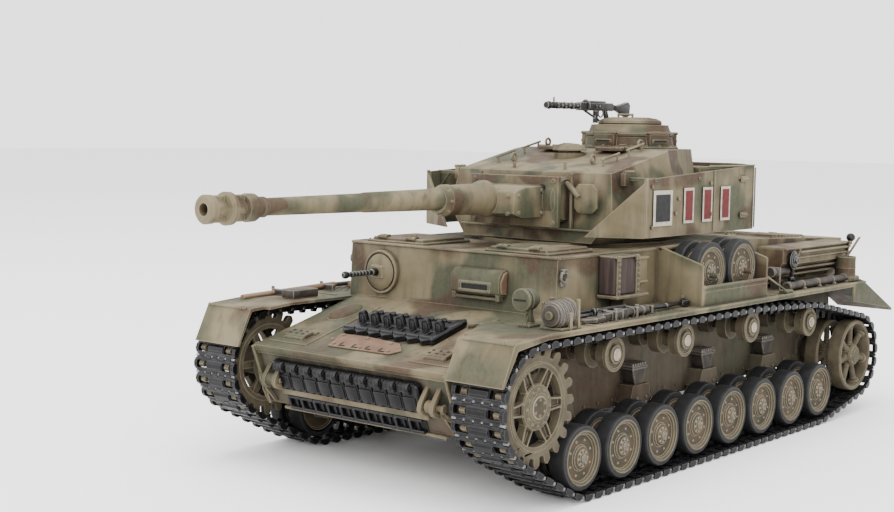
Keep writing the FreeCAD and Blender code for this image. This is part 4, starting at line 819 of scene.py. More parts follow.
def make_suspension_details():
    """Serrated bump stops, spring clamps and bolts on the bogies."""
    units = [box for box in islands("suspension_units") if box[0].y > 0]
    low, high = units[0]
    mid = (low.x + high.x) / 2
    y0, top = low.y, high.z
    parts = [block((mid - 2.9, y0, top - 0.5), (mid + 2.9, y0 + 3.6, top + 0.2), 0.12)]
    for i in range(6):
        x = mid - 2.6 + i * 0.95
        parts.append(block((x, y0 + 0.2, top + 0.1), (x + 0.5, y0 + 3.4, top + 0.75), 0.1))
    parts.append(side_plate([(mid - 2.6, top - 0.4), (mid + 2.6, top - 0.4), (mid + 0.9, top - 5.4),
                             (mid - 0.9, top - 5.4)], y0, y0 + 3.3, 0.15))
    axle_z = track_spot("left_road_wheel_1").z
    for lean in (-1, 1):
        parts.append(block((mid + lean * 2.0 - 0.35, TRACK_MID - 8.6, axle_z + 1.6),
                           (mid + lean * 2.0 + 0.35, TRACK_MID - 5.1, axle_z + 4.6), 0.1))
        for z in (axle_z + 1.2, axle_z + 5.6):
            spot = Vector((mid + lean * 1.7, TRACK_MID - 5.3, z))
            parts.append(rod(spot, spot + Vector((0, 0.35, 0)), 0.32, 6))
    unit = painted(joined("bump_stop", parts), FINISH["tools"])
    for i, (unit_low, unit_high) in enumerate(units):
        left = shifted(unit, (unit_low.x + unit_high.x) / 2 - mid, 0, 0)
        left.name = "left_bump_stop_%d" % (i + 1)
        right = mirrored(left)
        right.name = "right_bump_stop_%d" % (i + 1)
        for piece in (left, right):
            fitted(piece, "hull", "hull_paint")
    bpy.data.objects.remove(unit)
# ---- hull front ---------------------------------------------------------------------------
NOSE_X = mm_box("upper_hull")[1].x
NOSE_Z = 25.5
FRONT_X = mm_box("front_plate_fittings")[0].x + 0.35
ROOF_Z = 45.1
FENDER_Z = 33.2
NOSE_PLATE = plate_frame((NOSE_X, 0, NOSE_Z), (-0.373, 0, -0.928), (0.928, 0, -0.373))
GLACIS = plate_frame((33.4, 0, 33.4), (0.967, 0, -0.2546), (0.2546, 0, 0.967))


def dressed(name, finish, pieces):
    return painted(joined(name, pieces), FINISH[finish])


def spare_link():
    """Spare track link lying flat: its length across x, its guide horn up."""
    pieces = [
        block((-5.0, -1.35, 0.1), (5.0, 1.35, 0.8), 0.12), block((-4.8, -1.62, 0.15), (-2.4, 1.62, 0.95),
            0.15),
        block((2.4, -1.62, 0.15), (4.8, 1.62, 0.95), 0.15),
        plate([(-1.3, 0.45, 0.7), (-1.15, 0.45, 2.6), (-0.7, 0.45, 3.2), (0.0, 0.45, 3.2),
               (0.5, 0.45, 2.6), (0.8, 0.45, 0.7)],
              (0, -0.9, 0), 0.12),
        rod((-3.6, -1.75, 0.55), (-3.6, 1.75, 0.55), 0.5, 10), rod((3.6, -1.75, 0.55), (3.6, 1.75, 0.55),
            0.5, 10),
        rod((0, -1.75, 0.55), (0, 1.75, 0.55), 0.5, 10),
    ]
    paddle = plate([(-0.25, -1.15, 0.7), (-0.25, -0.95, 2.5), (-0.25, -0.5, 3.15), (-0.25, 0.5, 3.15),
                    (-0.25, 0.95, 2.5), (-0.25, 1.15, 0.7)], (0.75, 0, 0), 0.15)
    pieces.append(paddle)
    for side in (-1, 1):
        tip = plate([(side * 4.7, -1.72, 0.2), (side * 6.1, 0.0, 0.2), (side * 4.7, 1.72, 0.2),
                     (side * 4.2, 0, 0.2)],
                    (0, 0, 1.0), 0.12)
        pieces.append(tip)
        pieces.append(block((side * 4.4 - 0.35, -1.5, 0.6), (side * 4.4 + 0.35, 1.5, 1.5), 0.15))
    return pieces


def make_glacis_links():
    link = joined("spare_link", spare_link())
    links = []
    for i in range(7):
        links.append(shifted(link, 15.2, -9.6 + i * 3.45, 0))
    bpy.data.objects.remove(link)
    rail = block((9.6, 12.6, 0.2), (20.6, 13.5, 1.5), 0.25)
    end = plate([(9.2, 13.2, 0.3), (10.4, 11.4, 0.3), (14.4, 11.2, 0.3), (14.4, 12.6, 0.3),
                 (10.6, 13.6, 0.3)],
                (0, 0, 1.3), 0.2)
    laid(links + [rail, end], GLACIS)
    fitted(dressed("glacis_spare_links", "track_black", links + [rail, end]), "hull", "track_black",
           "spare_tracks")


def make_nose_links():
    """Upper row of curled links and lower recessed row on the nose plate."""
    base = [block((2.6, -1.72, 0.2), (8.4, 1.72, 1.7), 0.25, 2)]
    base.append(rod((3.2, -1.2, 1.9), (3.2, 1.2, 1.9), 1.05, 14, 0.15))
    base.append(rod((3.2, -1.3, 1.9), (3.2, 1.3, 1.9), 0.45, 8))
    base.append(plate([(2.4, 1.0, 1.6), (4.9, 1.0, 1.5), (4.6, 1.0, 2.3), (3.2, 1.0, 3.2), (2.2, 1.0, 2.6)],
                      (0, -0.75, 0), 0.12))
    base.append(block((5.3, -1.55, 1.5), (8.3, 1.55, 2.05), 0.25, 2))
    base.append(block((8.1, -1.5, 0.6), (8.9, -0.5, 1.7), 0.15))
    base.append(block((8.1, 0.4, 0.6), (8.9, 1.5, 1.7), 0.15))
    link = joined("curled_link", base)
    rows = [shifted(link, 0, -18.1 + i * 3.78, 0) for i in range(10)]
    bpy.data.objects.remove(link)
    rows.append(block((2.4, -20.4, 0.1), (8.2, -19.6, 1.8), 0.25))
    rows.append(block((2.8, 17.4, 0.1), (8.6, 18.5, 1.8), 0.3))
    window = [block((10.7, -1.75, 0.05), (11.3, 1.75, 1.1), 0.12),
              block((13.2, -1.75, 0.05), (13.9, 1.75, 1.2), 0.12),
              block((11.0, -1.78, 0.1), (13.5, -1.15, 1.25), 0.15), block((11.0, -0.3, 0.0),
                  (13.5, 0.3, 0.6), 0.08)]
    cell = joined("low_link", window)
    rows += [shifted(cell, 0, -17.9 + i * 3.66, 0) for i in range(10)]
    bpy.data.objects.remove(cell)
    laid(rows, NOSE_PLATE)
    fitted(dressed("nose_spare_links", "track_black", rows), "hull", "track_black")
    # Painted shade: a thin near-black sheet in the recess behind the lower row of links.
    nose_shade_sheet = laid([block((10.6, -19.8, -0.1), (13.8, 17.2, 0.12), 0.03)], NOSE_PLATE)
    fitted(dressed("nose_recess_shade", "hole_shade", nose_shade_sheet), "hull", "hull_paint")


def tow_strap(y):
    """Thick curved strap that stands out from the nose plate."""
    outline = [(3.4, y, -0.1), (4.6, y, 1.9), (5.6, y, 3.3), (6.6, y, 3.9), (7.6, y, 3.6), (8.4, y, 2.6),
               (9.0, y, 1.4),
               (10.4, y, -0.1), (8.9, y, -0.1), (7.9, y, 1.1), (7.3, y, 2.2), (6.6, y, 2.7), (6.0, y,
                   2.3), (5.2, y, 1.1),
               (4.6, y, -0.1)]
    return plate(outline, (0, 0.95, 0), 0.16, 2)


def make_nose_fittings():
    steps = [block((-0.25, -25.9, -0.2), (1.0, 25.9, 0.65), 0.18, 2),
             block((1.0, -25.7, -0.2), (1.9, 25.7, 0.3), 0.12),
             block((8.9, -20.6, -0.1), (10.3, 19.2, 1.5), 0.35, 2), block((9.9, -20.2, -0.1),
                 (10.7, 18.6, 0.7), 0.15),
             block((13.7, -22.0, -0.4), (14.4, 22.0, 0.9), 0.2)]
    for side in (-1, 1):
        low = min(side * 25.4, side * 26.1)
        steps.append(block((-0.2, low, -0.8), (13.4, low + 0.7, 1.3), 0.15))
        for y in (19.6, 22.6):
            steps.append(tow_strap(side * y - 0.475))
        steps.append(rod((6.6, side * 18.9, 2.0), (6.6, side * 24.3, 2.0), 0.62, 14, 0.12))
        steps.append(rod((6.6, side * 20.3, 1.9), (6.6, side * 22.2, 1.9), 1.25, 18, 0.2))
        steps.append(rod((6.6, side * 24.2, 2.0), (6.6, side * 24.7, 2.0), 0.95, 6, 0.1))
        lean = side * 24.5
        strut = plate([(8.0, lean, 1.6), (8.6, lean, 2.4), (13.0, lean, 0.9), (13.2, lean, 0.1)],
                      (0, -side * 0.4, 0), 0.08)
        steps.append(strut)
        wing = plate([(6.2, lean - side * 0.4, 2.9), (7.8, lean - side * 0.4, 3.0),
                      (9.6, lean + side * 1.2, 2.0),
                      (12.8, lean + side * 1.3, 1.6), (12.8, lean + side * 1.3, 0.9), (9.2,
                          lean + side * 1.1, 1.3)],
                     (0.25, 0, -0.35), 0.06)
        steps.append(wing)
    laid(steps, NOSE_PLATE)
    fitted(dressed("nose_fittings", "hull_paint", steps), "hull", "hull_paint", "tow_shackles")


def make_glacis_details():
    plain, brown, holes = [], [], []
    for side in (-1, 1):
        inner, outer = sorted((side * 13.8, side * 24.5))
        plain.append(block((5.4, inner, -0.3), (28.6, outer, 0.22), 0.1))
        mid = side * 18.9
        hinge = block((23.6, mid - 2.9, 0.1), (26.6, mid + 2.9, 1.15), 0.28, 2)
        plain += [hinge, rod((26.7, mid - 2.6, 0.35), (26.7, mid + 2.6, 0.35), 0.45, 10, 0.1)]
        plain.append(block((22.4, mid + 0.9, 0.15), (23.8, mid + 3.3, 0.75), 0.15))
        for k in range(6):
            x, y = 24.4 + (k // 3) * 1.35, mid - 1.8 + (k % 3) * 1.8
            holes.append(rod((x, y, 0.9), (x, y, 1.2), 0.34, 8))
        bulge = ball((10.8, side * 19.2, 0.1), 1, (4.6, 3.0, 1.35), 24)
        take(bulge)
        plain.append(bulge)
        for x in (7.0, 18.0):
            plain += bolts(Vector((x, mid, 0.2)), "z", 3.9, 2, 0.3, 0.22, 0.5)
    brown.append(plate([(27.4, -8.6, 0.0), (21.3, -10.4, 0.0), (21.0, -3.5, 0.0), (22.1, 6.2, 0.0),
                        (25.0, 9.2, 0.0),
                        (27.2, 7.8, 0.0)], (0, 0, 0.4), 0.12))
    for x, y in ((26.6, -7.6), (22.2, -8.9), (22.3, -2.2), (23.0, 4.8), (26.4, 6.9), (26.6, -0.4),
                 (24.8, -9.6)):
        brown.append(rod((x, y, 0.35), (x, y, 0.72), 0.42, 6, 0.06))
    for y in (-6.0, -2.6, 1.0, 4.6):
        holes.append(block((26.6, y, 0.3), (27.05, y + 1.5, 0.46), 0))
        holes.append(block((25.4, y - 0.15, 0.3), (26.4, y + 0.15, 0.46), 0))
    plain.append(plate([(11.0, 14.4, 0.15), (6.6, 16.4, 0.15), (6.4, 19.6, 0.15), (9.6, 18.2, 0.15)],
                       (0, 0, 1.2), 0.35, 2))
    laid(plain + brown + holes, GLACIS)
    fitted(dressed("glacis_plates", "hull_paint", plain), "hull", "hull_paint")
    fitted(dressed("glacis_access_panel", "brown_paint", brown), "hull", "hull_paint")
    # The hinge holes and panel slots are flush near-black pieces: painted shade inside them.
    fitted(dressed("glacis_holes", "hole_shade", holes), "hull", "hull_paint")


def make_bow_gun():
    x, y, z = FRONT_X, -18.4, 39.0
    spot = (x, y, z)
    disc = [(-0.6, 0), (-0.6, 4.75), (0.55, 4.75), (0.72, 4.6), (0.72, 4.3), (0.55, 4.18), (0.18, 4.12),
            (0.18, 3.92),
            (0.75, 3.85), (1.15, 3.35), (1.45, 2.5), (1.62, 1.3), (1.65, 0)]
    plates = [turned(disc, spot, "x", 48),
              block((x + 1.2, y + 0.1, z - 1.35), (x + 1.95, y + 1.8, z + 1.35), 0.18),
              block((x + 1.2, y - 1.75, z + 0.75), (x + 1.9, y + 0.6, z + 1.45), 0.15),
              block((x + 1.2, y - 1.75, z - 1.45), (x + 1.8, y + 0.6, z - 0.85), 0.15)]
    plates += bolts((x + 0.5, y, z), "x", 4.42, 10, 0.16, 0.3, 0.3, 6)
    fitted(dressed("bow_gun_mount", "hull_paint", plates), "hull", "hull_paint", "front_plate_fittings")
    # Painted shade in the opening of the gun mount.
    socket = [block((x + 1.3, y - 1.3, z - 0.75), (x + 1.75, y + 0.9, z + 0.75), 0.05)]
    fitted(dressed("bow_gun_socket", "hole_shade", socket), "hull", "hull_paint")
    barrel = [rod((x + 1.2, y, z), (x + 10.9, y, z), 0.56, 14, 0.05),
              rod((x + 1.4, y, z), (x + 3.4, y, z), 0.8, 14, 0.1),
              turned([(10.6, 0), (10.6, 0.5), (10.9, 0.72), (11.4, 0.82), (11.9, 0.74), (12.2, 0.45),
                      (12.2, 0)],
                     (x, y, z), "x", 18)]
    for i in range(6):
        barrel.append(ring((x + 4.6 + i * 1.0, y, z), "x", 0.56, 0.09, 14, 6))
    fitted(dressed("bow_gun_barrel", "gun_metal", barrel), "hull", "gun_metal")


def make_driver_visor():
    x, z = FRONT_X, 38.9
    body = side_plate([(x - 0.4, z - 2.7), (x + 1.5, z - 2.5), (x + 2.2, z - 1.9), (x + 2.3, z + 0.6),
                       (x + 1.9, z + 1.9),
                       (x + 1.0, z + 2.7), (x - 0.5, z + 3.0)], 2.9, 15.6, 0.28, 2)
    lip = block((x, 3.6, z - 3.4), (x + 1.5, 14.9, z - 2.7), 0.2)
    frame_low = block((x + 2.1, 5.2, z - 1.9), (x + 2.65, 13.6, z - 1.25), 0.15)
    frame_top = block((x + 2.1, 5.2, z - 0.25), (x + 2.6, 13.6, z + 0.3), 0.15)
    ends = [block((x + 2.1, 5.2, z - 1.5), (x + 2.6, 6.0, z), 0.12),
            block((x + 2.1, 12.8, z - 1.5), (x + 2.6, 13.6, z), 0.12)]
    for y in (3.4, 14.8):
        ends.append(block((x + 0.2, y - 0.45, z - 3.5), (x + 1.9, y + 0.45, z - 1.7), 0.18))
    fitted(dressed("driver_visor", "hull_paint", [body, lip, frame_low, frame_top] + ends), "hull",
           "hull_paint")
    # Painted shade in the vision slit.
    slit = [block((x + 2.2, 6.0, z - 1.28), (x + 2.5, 12.8, z - 0.22), 0)]
    fitted(dressed("driver_visor_slit", "hole_shade", slit), "hull", "hull_paint")
    cut = [side_plate([(x + 0.1, z - 2.1), (x + 1.7, z - 1.9), (x + 2.0, z + 0.4), (x + 0.9, z + 2.2),
                       (x - 0.2, z + 2.6)],
                      15.5, 15.95, 0.1)]
    fitted(dressed("driver_visor_end", "brown_paint", cut), "hull", "hull_paint")


def roof_hatch(x0, x1, y0, y1):
    """Double-stepped hatch with hinges, a lock and bolts, at the tank's left."""
    z = ROOF_Z
    parts = [block((x0, y0, z - 0.3), (x1, y1, z + 0.55), 0.15),
             block((x0 + 0.9, y0 + 0.9, z + 0.4), (x1 - 0.9, y1 - 0.9, z + 1.2), 0.2)]
    for y in (y0 + 3.2, y1 - 4.8):
        parts.append(block((x1 - 2.6, y, z + 1.1), (x1 - 0.6, y + 0.6, z + 1.75), 0.15))
        parts.append(block((x1 - 2.6, y + 1.2, z + 1.1), (x1 - 0.6, y + 1.8, z + 1.75), 0.15))
        parts.append(rod((x1 - 0.8, y - 0.4, z + 1.2), (x1 - 0.8, y + 2.2, z + 1.2), 0.42, 12, 0.08))
    mid = Vector(((x0 + x1) / 2 + 1.5, (y0 + y1) / 2 + 1.5, z + 1.15))
    parts.append(turned([(0, 0), (0, 1.9), (0.35, 1.75), (0.35, 1.4), (0.2, 1.3), (0.2, 0)], mid, "z", 24))
    for x in (x0 + 0.45, (x0 + x1) / 2, x1 - 0.45):
        for y in (y0 + 0.45, y1 - 0.45):
            parts.append(rod((x, y, z + 0.5), (x, y, z + 0.8), 0.24, 6))
    return parts


def make_roof_hatches():
    left = dressed("driver_hatch", "hull_paint", roof_hatch(15.4, 31.6, 8.4, 24.6))
    right = mirrored(left)
    right.name = "radio_hatch"
    fitted(left, "hull", "hull_paint")
    fitted(right, "hull", "hull_paint")
    weld = block((FRONT_X - 0.9, -27.9, ROOF_Z - 0.35), (FRONT_X - 0.1, 27.9, ROOF_Z + 0.2), 0.15)
    side_weld = [block((-30.0, side * 27.9 - 0.35, ROOF_Z - 0.5),
                       (FRONT_X - 0.9, side * 27.9 + 0.35, ROOF_Z + 0.2), 0.18)
                 for side in (-1, 1)]
    fitted(dressed("roof_edges", "hull_paint", [weld] + side_weld), "hull", "hull_paint")
    parts = []
    for side in (-1, 1):
        hook = ring((31.4, side * 28.6, 41.2), "y", 1.05, 0.28, 20, 8)
        parts += [hook, block((30.7, side * 28.5 - 0.5, 41.9), (32.1, side * 28.5 + 0.5, 42.9), 0.15),
                  block((30.5, side * 28.3 - 0.3, 39.4), (32.3, side * 28.3 + 0.3, 40.3), 0.12)]
    fitted(dressed("hull_lifting_eyes", "tools", parts), "hull", "tools")
# ---- fenders and what they carry ----------------------------------------------------------
FENDER_EDGE = mm_box("fenders")[1].y


def make_fender_details():
    parts = []
    for x in (-66.0, -36.0, 36.5):
        parts.append(block((x, 29.0, FENDER_Z - 0.02), (x + 0.7, FENDER_EDGE - 0.3, FENDER_Z + 0.22), 0.08))
    for i in range(24):
        for k in range(9):
            x, y = 4.5 + i * 1.3, 33.4 + k * 0.85
            if x < 9 and y < 36:
                continue
            lean = 0.32 if (i + k) % 2 else -0.32
            parts.append(plate([(x - 0.3, y - lean * 0.5, FENDER_Z), (x, y - 0.12, FENDER_Z),
                                (x + 0.3, y + lean * 0.5, FENDER_Z),
                                (x, y + 0.12, FENDER_Z)], (0, 0, 0.09), 0))
    edge = [(-82.6, FENDER_EDGE - 0.1, FENDER_Z - 0.1), (53.0, FENDER_EDGE - 0.1, FENDER_Z - 0.1)]
    parts.append(rod(edge[0], edge[1], 0.3, 10))
    parts.append(rod((53.0, FENDER_EDGE - 0.25, FENDER_Z - 0.15),
                     (63.2, FENDER_EDGE - 0.25, FENDER_Z - 0.85), 0.26, 8))
    parts.append(rod((63.2, 29.0, FENDER_Z - 0.75), (63.2, FENDER_EDGE - 0.3, FENDER_Z - 0.75), 0.3, 8))
    for y in (30.2, 38.8):
        parts.append(rod((62.6, y, FENDER_Z - 0.75), (63.6, y, FENDER_Z - 0.6), 0.34, 8, 0.05))
    parts.append(rod((-82.2, 27.0, FENDER_Z), (-82.2, FENDER_EDGE - 0.4, FENDER_Z), 0.35, 10))
    for y in (29.0, 33.4, 37.8):
        parts.append(block((-84.4, y, FENDER_Z - 0.9), (-80.6, y + 1.4, FENDER_Z + 0.35), 0.2))
    left = dressed("left_fender_trim", "hull_paint", parts)
    right = mirrored(left)
    right.name = "right_fender_trim"
    fitted(left, "hull", "hull_paint")
    fitted(right, "hull", "hull_paint")


HEADLAMP = (46.6, 31.3, 38.4)
SMOKE_POT = (44.6, 37.3, 35.95)
JACK_BLOCK = ((9.8, 28.15, 36.9), (18.6, 32.0, 44.4))


def make_headlamp():
    spot = HEADLAMP
    x, y, z = spot
    shell = [(-1.9, 0), (-1.9, 0.9), (-1.5, 1.6), (-0.6, 2.05), (1.1, 2.15), (1.25, 2.0), (1.3, 1.75),
             (1.5, 1.7),
             (1.6, 2.05), (1.8, 2.2), (2.3, 2.2), (2.45, 2.05), (2.5, 0)]
    parts = [turned(shell, spot, "x", 36),
             block((x - 1.0, y - 0.5, 34.2), (x + 0.2, y + 0.5, z - 1.8), 0.15),
             block((x - 2.2, y - 1.4, FENDER_Z), (x + 1.6, y + 1.4, FENDER_Z + 0.6), 0.15),
             side_plate([(x - 2.0, FENDER_Z + 0.4), (x + 1.3, FENDER_Z + 0.4), (x + 0.4, 35.8),
                         (x - 1.0, 35.8)], y - 0.3, y + 0.3, 0.1),
             rod((x - 1.6, y - 1.2, FENDER_Z + 0.6), (x - 1.6, y - 1.2, FENDER_Z + 1.0), 0.4, 6),
             rod((x + 1.0, y + 1.0, FENDER_Z + 0.6), (x + 1.0, y + 1.0, FENDER_Z + 1.0), 0.4, 6)]
    fitted(dressed("headlamp", "hull_paint", parts), "hull", "hull_paint", "fender_equipment")
    # Painted shade in the lamp's slit and in the groove round its front.
    slot = [block((x + 2.45, y - 1.6, z - 0.2), (x + 2.56, y + 1.2, z + 0.16), 0),
            ring((x + 1.45, y, z), "x", 1.86, 0.2, 32, 8)]
    fitted(dressed("headlamp_slot", "hole_shade", slot), "hull", "hull_paint")


def make_horn():
    """Ribbed smoke pot in its cradle, beside the headlamp."""
    x, y, z = SMOKE_POT
    drum = [(-2.9, 0), (-2.9, 2.1), (-2.5, 2.45)]
    for i in range(4):
        a = -2.3 + i * 1.35
        drum += [(a, 2.45), (a + 0.25, 2.7), (a + 0.6, 2.7), (a + 0.85, 2.4)]
    drum += [(2.9, 2.4), (3.3, 2.0), (3.4, 1.2), (3.4, 0)]
    body = [turned(drum, (x, y, z), "x", 36)]
    fitted(dressed("smoke_pot", "tools", body), "hull", "tools")
    trim = [block((x - 2.2, y + 2.3, FENDER_Z), (x - 1.7, y + 3.0, z + 2.9), 0.1),
            block((x + 0.1, y + 2.2, FENDER_Z), (x + 0.9, y + 2.95, z + 0.6), 0.1),
            ring((x - 1.9, y, z), "x", 2.75, 0.22, 32, 6), rod((x + 3.1, y, z), (x + 3.9, y, z), 0.85, 14,
                0.12),
            rod((x + 1.2, y - 1.2, z + 2.5), (x + 1.2, y - 1.2, z + 3.2), 0.5, 10, 0.1),
            block((x - 3.2, y - 2.6, FENDER_Z), (x + 3.0, y + 2.6, FENDER_Z + 0.55), 0.15),
            block((x + 1.6, y - 2.9, z - 0.6), (x + 2.2, y - 2.3, z + 2.3), 0.15)]
    fitted(dressed("smoke_pot_cradle", "hull_paint", trim), "hull", "hull_paint")


def make_jack_block():
    """Dark wooden block held by two riveted straps on its bracket, with a small box behind."""
    (x0, y0, z0), (x1, y1, z1) = JACK_BLOCK
    wood = [block((x0, y0, z0), (x1, y1, z1), 0.15)]
    for z in (38.9, 41.4):
        wood.append(block((x0 + 0.1, y1 - 0.1, z), (x1 - 0.1, y1 + 0.04, z + 0.06), 0))
    fitted(dressed("jack_block", "dark_wood", wood), "hull", "tools")
    frame = [block((x0 - 2.4, y0, z0 - 0.8), (x1 + 0.7, y1 + 1.3, z0 - 0.1), 0.18),
             block((x0, y0, z1), (x1, y1 + 0.4, z1 + 0.4), 0.1),
             block((x0 + 3.4, y0, 34.2), (x0 + 4.2, y1 - 0.6, z0 - 0.7), 0.1)]
    for x in (x0 - 0.25, x1 - 1.9):
        frame.append(block((x, y1 - 0.05, z0 - 0.3), (x + 1.35, y1 + 0.35, z1 + 0.3), 0.1))
        for i in range(7):
            z = z0 + 0.6 + i * 1.12
            frame.append(rod((x + 0.68, y1 + 0.3, z), (x + 0.68, y1 + 0.62, z), 0.3, 8, 0.05))
    for x in (x0 + 1.0, x1 - 0.9):
        frame.append(block((x, y1 + 0.3, z1 - 0.6), (x + 0.8, y1 + 0.9, z1 + 0.6), 0.12))
    fitted(dressed("jack_block_bracket", "rim_paint", frame), "hull", "hull_paint")
    flap = [block((2.4, 28.0, 38.4), (7.9, 29.6, 43.4), 0.25, 2),
            block((2.0, 28.0, 43.2), (8.3, 29.9, 43.9), 0.2),
            rod((2.2, 29.4, 38.5), (8.1, 29.4, 38.5), 0.28, 8)]
    fitted(dressed("side_box", "hull_paint", flap), "hull", "hull_paint")


def make_left_tools():
    z = FENDER_Z
    steel = [rod((36.5, 33.0, z + 1.5), (17.0, 33.6, z + 1.5), 0.5, 12, 0.1),
             rod((36.2, 34.2, z + 1.0), (24.0, 34.4, z + 1.0), 0.42, 10),
             rod((30.0, 34.6, z + 1.5), (29.2, 34.9, z + 1.5), 0.9, 12, 0.1), block((26.0, 33.0, z),
                 (27.0, 35.6, z + 1.9), 0.18),
             rod((5.6, 36.2, z + 0.9), (-1.0, 35.6, z + 0.9), 0.6, 12, 0.1, 0.42),
             plate([(-0.6, 36.6, z + 0.3), (-3.0, 37.0, z + 0.3), (-3.9, 35.6, z + 0.3),
                    (-3.0, 34.4, z + 0.3), (-2.2, 35.4, z + 0.3)],
                   (0, 0, 1.2), 0.25, 2),
             rod((16.6, 36.0, z + 1.0), (5.4, 36.2, z + 0.9), 0.5, 12, 0.08)]
    fitted(dressed("fender_bars", "gun_metal", steel), "hull", "tools")
    jack = [block((24.6, 36.6, z + 0.2), (31.6, 38.2, z + 1.7), 0.3, 2),
            block((31.0, 36.2, z + 0.1), (34.6, 38.6, z + 1.2), 0.35, 2),
            plate([(34.2, 36.1, z + 0.2), (37.4, 36.9, z + 0.2), (37.4, 37.9, z + 0.2),
                   (34.2, 38.7, z + 0.2)], (0, 0, 0.9), 0.2),
            block((22.8, 36.4, z), (24.8, 38.4, z + 2.1), 0.3, 2), rod((22.8, 37.3, z + 1.0),
                (15.8, 37.0, z + 1.0), 0.85, 14, 0.15),
            rod((16.4, 37.0, z + 1.0), (14.4, 36.9, z + 1.0), 1.05, 14, 0.15), block((27.6, 35.8, z),
                (28.3, 39.0, z + 2.0), 0.15),
            block((19.4, 35.8, z), (20.1, 38.6, z + 2.1), 0.15), block((12.2, 35.4, z),
                (12.9, 37.6, z + 1.7), 0.15),
            rod((27.95, 38.6, z + 2.0), (27.95, 38.6, z + 2.5), 0.4, 8), rod((19.75, 38.2, z + 2.1),
                (19.75, 38.2, z + 2.6), 0.4, 8)]
    fitted(dressed("fender_jack", "tools", jack), "hull", "tools")


def make_right_tools():
    z = FENDER_Z
    wood = [rod((56.0, -38.4, z + 0.1), (27.6, -38.6, z + 0.9), 0.72, 14, 0.1),
            rod((25.0, -36.4, z + 0.8), (4.0, -36.4, z + 0.8), 0.62, 14, 0.1)]
    fitted(dressed("tool_handles", "handle_wood", wood), "hull", "tools")
    steel = [block((3.4, -34.8, z), (25.4, -32.0, z + 1.9), 0.3, 2),
             rod((27.4, -38.6, z + 0.9), (22.6, -38.6, z + 0.9), 0.5, 12),
             plate([(22.8, -39.6, z + 0.4), (17.6, -40.2, z + 0.4), (16.8, -38.4, z + 0.4),
                    (17.6, -37.0, z + 0.4), (22.8, -37.6, z + 0.4)],
                   (0, 0, 0.8), 0.2), rod((4.2, -36.4, z + 0.8), (0.6, -36.4, z + 0.8), 1.0, 14, 0.2),
             rod((-10.0, -35.8, z + 1.3), (-40.0, -35.8, z + 1.3), 0.6, 12,
                 0.1), rod((-40.0, -35.8, z + 1.3), (-43.4, -34.4, z + 1.3), 0.55, 10, 0.1)]
    for x in (8.0, 20.0, 31.0, 46.0, -14.0, -34.0):
        steel.append(block((x, -39.2, z), (x + 0.8, -35.0, z + 1.4), 0.15))
        steel.append(rod((x + 0.4, -39.0, z + 1.2), (x + 0.4, -39.0, z + 1.9), 0.38, 8))
    steel += [block((41.6, -33.4, z), (49.2, -29.6, z + 1.9), 0.35, 2),
              rod((-72.8, -38.0, z), (-72.8, -38.0, z + 5.2), 0.8, 14, 0.15),
              turned([(0, 0), (0, 1.5), (0.5, 1.5), (0.8, 0.9), (0.8, 0)], (-72.8, -38.0, z), "z", 20)]
    fitted(dressed("right_fender_tools", "tools", steel), "hull", "tools")


def make_spare_wheels(wheel, spot):
    for i, (low, high) in enumerate(islands("spare_wheels")):
        centre = (low + high) / 2
        turn = Matrix.Translation(Vector((centre.x, centre.y - 0.4,
                                          centre.z)) * MM) @ Matrix.Rotation(0.6 + i, 4, "Y")
        piece = copied(wheel, turn @ Matrix.Translation(-spot * MM))
        squeeze = Matrix.Translation(Vector((0, centre.y - 0.4, 0)) * MM) @ Matrix.Scale(0.70, 4, (0, 1, 0))
        piece.data.transform(squeeze @ Matrix.Translation(Vector((0, -(centre.y - 0.4), 0)) * MM))
        piece.name = "spare_wheel_%d" % (i + 1)
        fitted(piece, "hull", "wheel_paint", *(["spare_wheels"] if i == 0 else []))
    low, high = mm_box("spare_wheel_box")
    y1 = high.y
    parts = [rod((low.x + 0.2, y1 - 0.05, low.z + 4.15), (high.x - 0.2, y1 - 0.05, low.z + 4.15), 0.36, 10),
             rod((low.x, y1 - 0.1, low.z + 3.1), (high.x, y1 - 0.1, low.z + 3.1), 0.14, 6)]
    for x in (low.x + 0.25, high.x - 0.25):
        parts.append(rod((x, y1 - 0.2, low.z + 8.8), (x, low.y + 0.7, high.z - 0.05), 0.3, 8))
        parts.append(rod((x, y1 - 0.15, low.z + 0.4), (x, y1 - 0.15, low.z + 8.8), 0.28, 8))
    parts.append(rod((low.x, low.y + 1.0, high.z - 0.3), (high.x, low.y + 1.0, high.z - 0.3), 0.5, 10))
    parts.append(rod((high.x, y1 - 4.6, low.z + 2.0), (high.x + 0.35, y1 - 4.6, low.z + 2.0), 0.4, 8))
    for x in (low.x + 7.0, high.x - 7.0):
        parts.append(rod((x, y1 - 6.2, low.z + 6.2), (x, y1 - 0.1, low.z + 6.2), 0.55, 12))
    fitted(dressed("spare_wheel_tray_trim", "hull_paint", parts), "hull", "hull_paint")
    brace = [rod((low.x - 0.6, y1 - 1.2, low.z + 5.0), (low.x - 9.8, FENDER_EDGE - 1.6, FENDER_Z + 0.6),
                 0.22, 8),
             rod((low.x - 0.6, low.y + 1.0, low.z + 3.6), (low.x - 8.0, low.y + 6.0, FENDER_Z + 0.6), 0.22,
                 8),
             block((low.x - 11.6, FENDER_EDGE - 2.9, FENDER_Z),
                   (low.x - 8.6, FENDER_EDGE - 0.6, FENDER_Z + 0.8), 0.2)]
    fitted(dressed("tray_struts", "hull_paint", brace), "hull", "hull_paint")
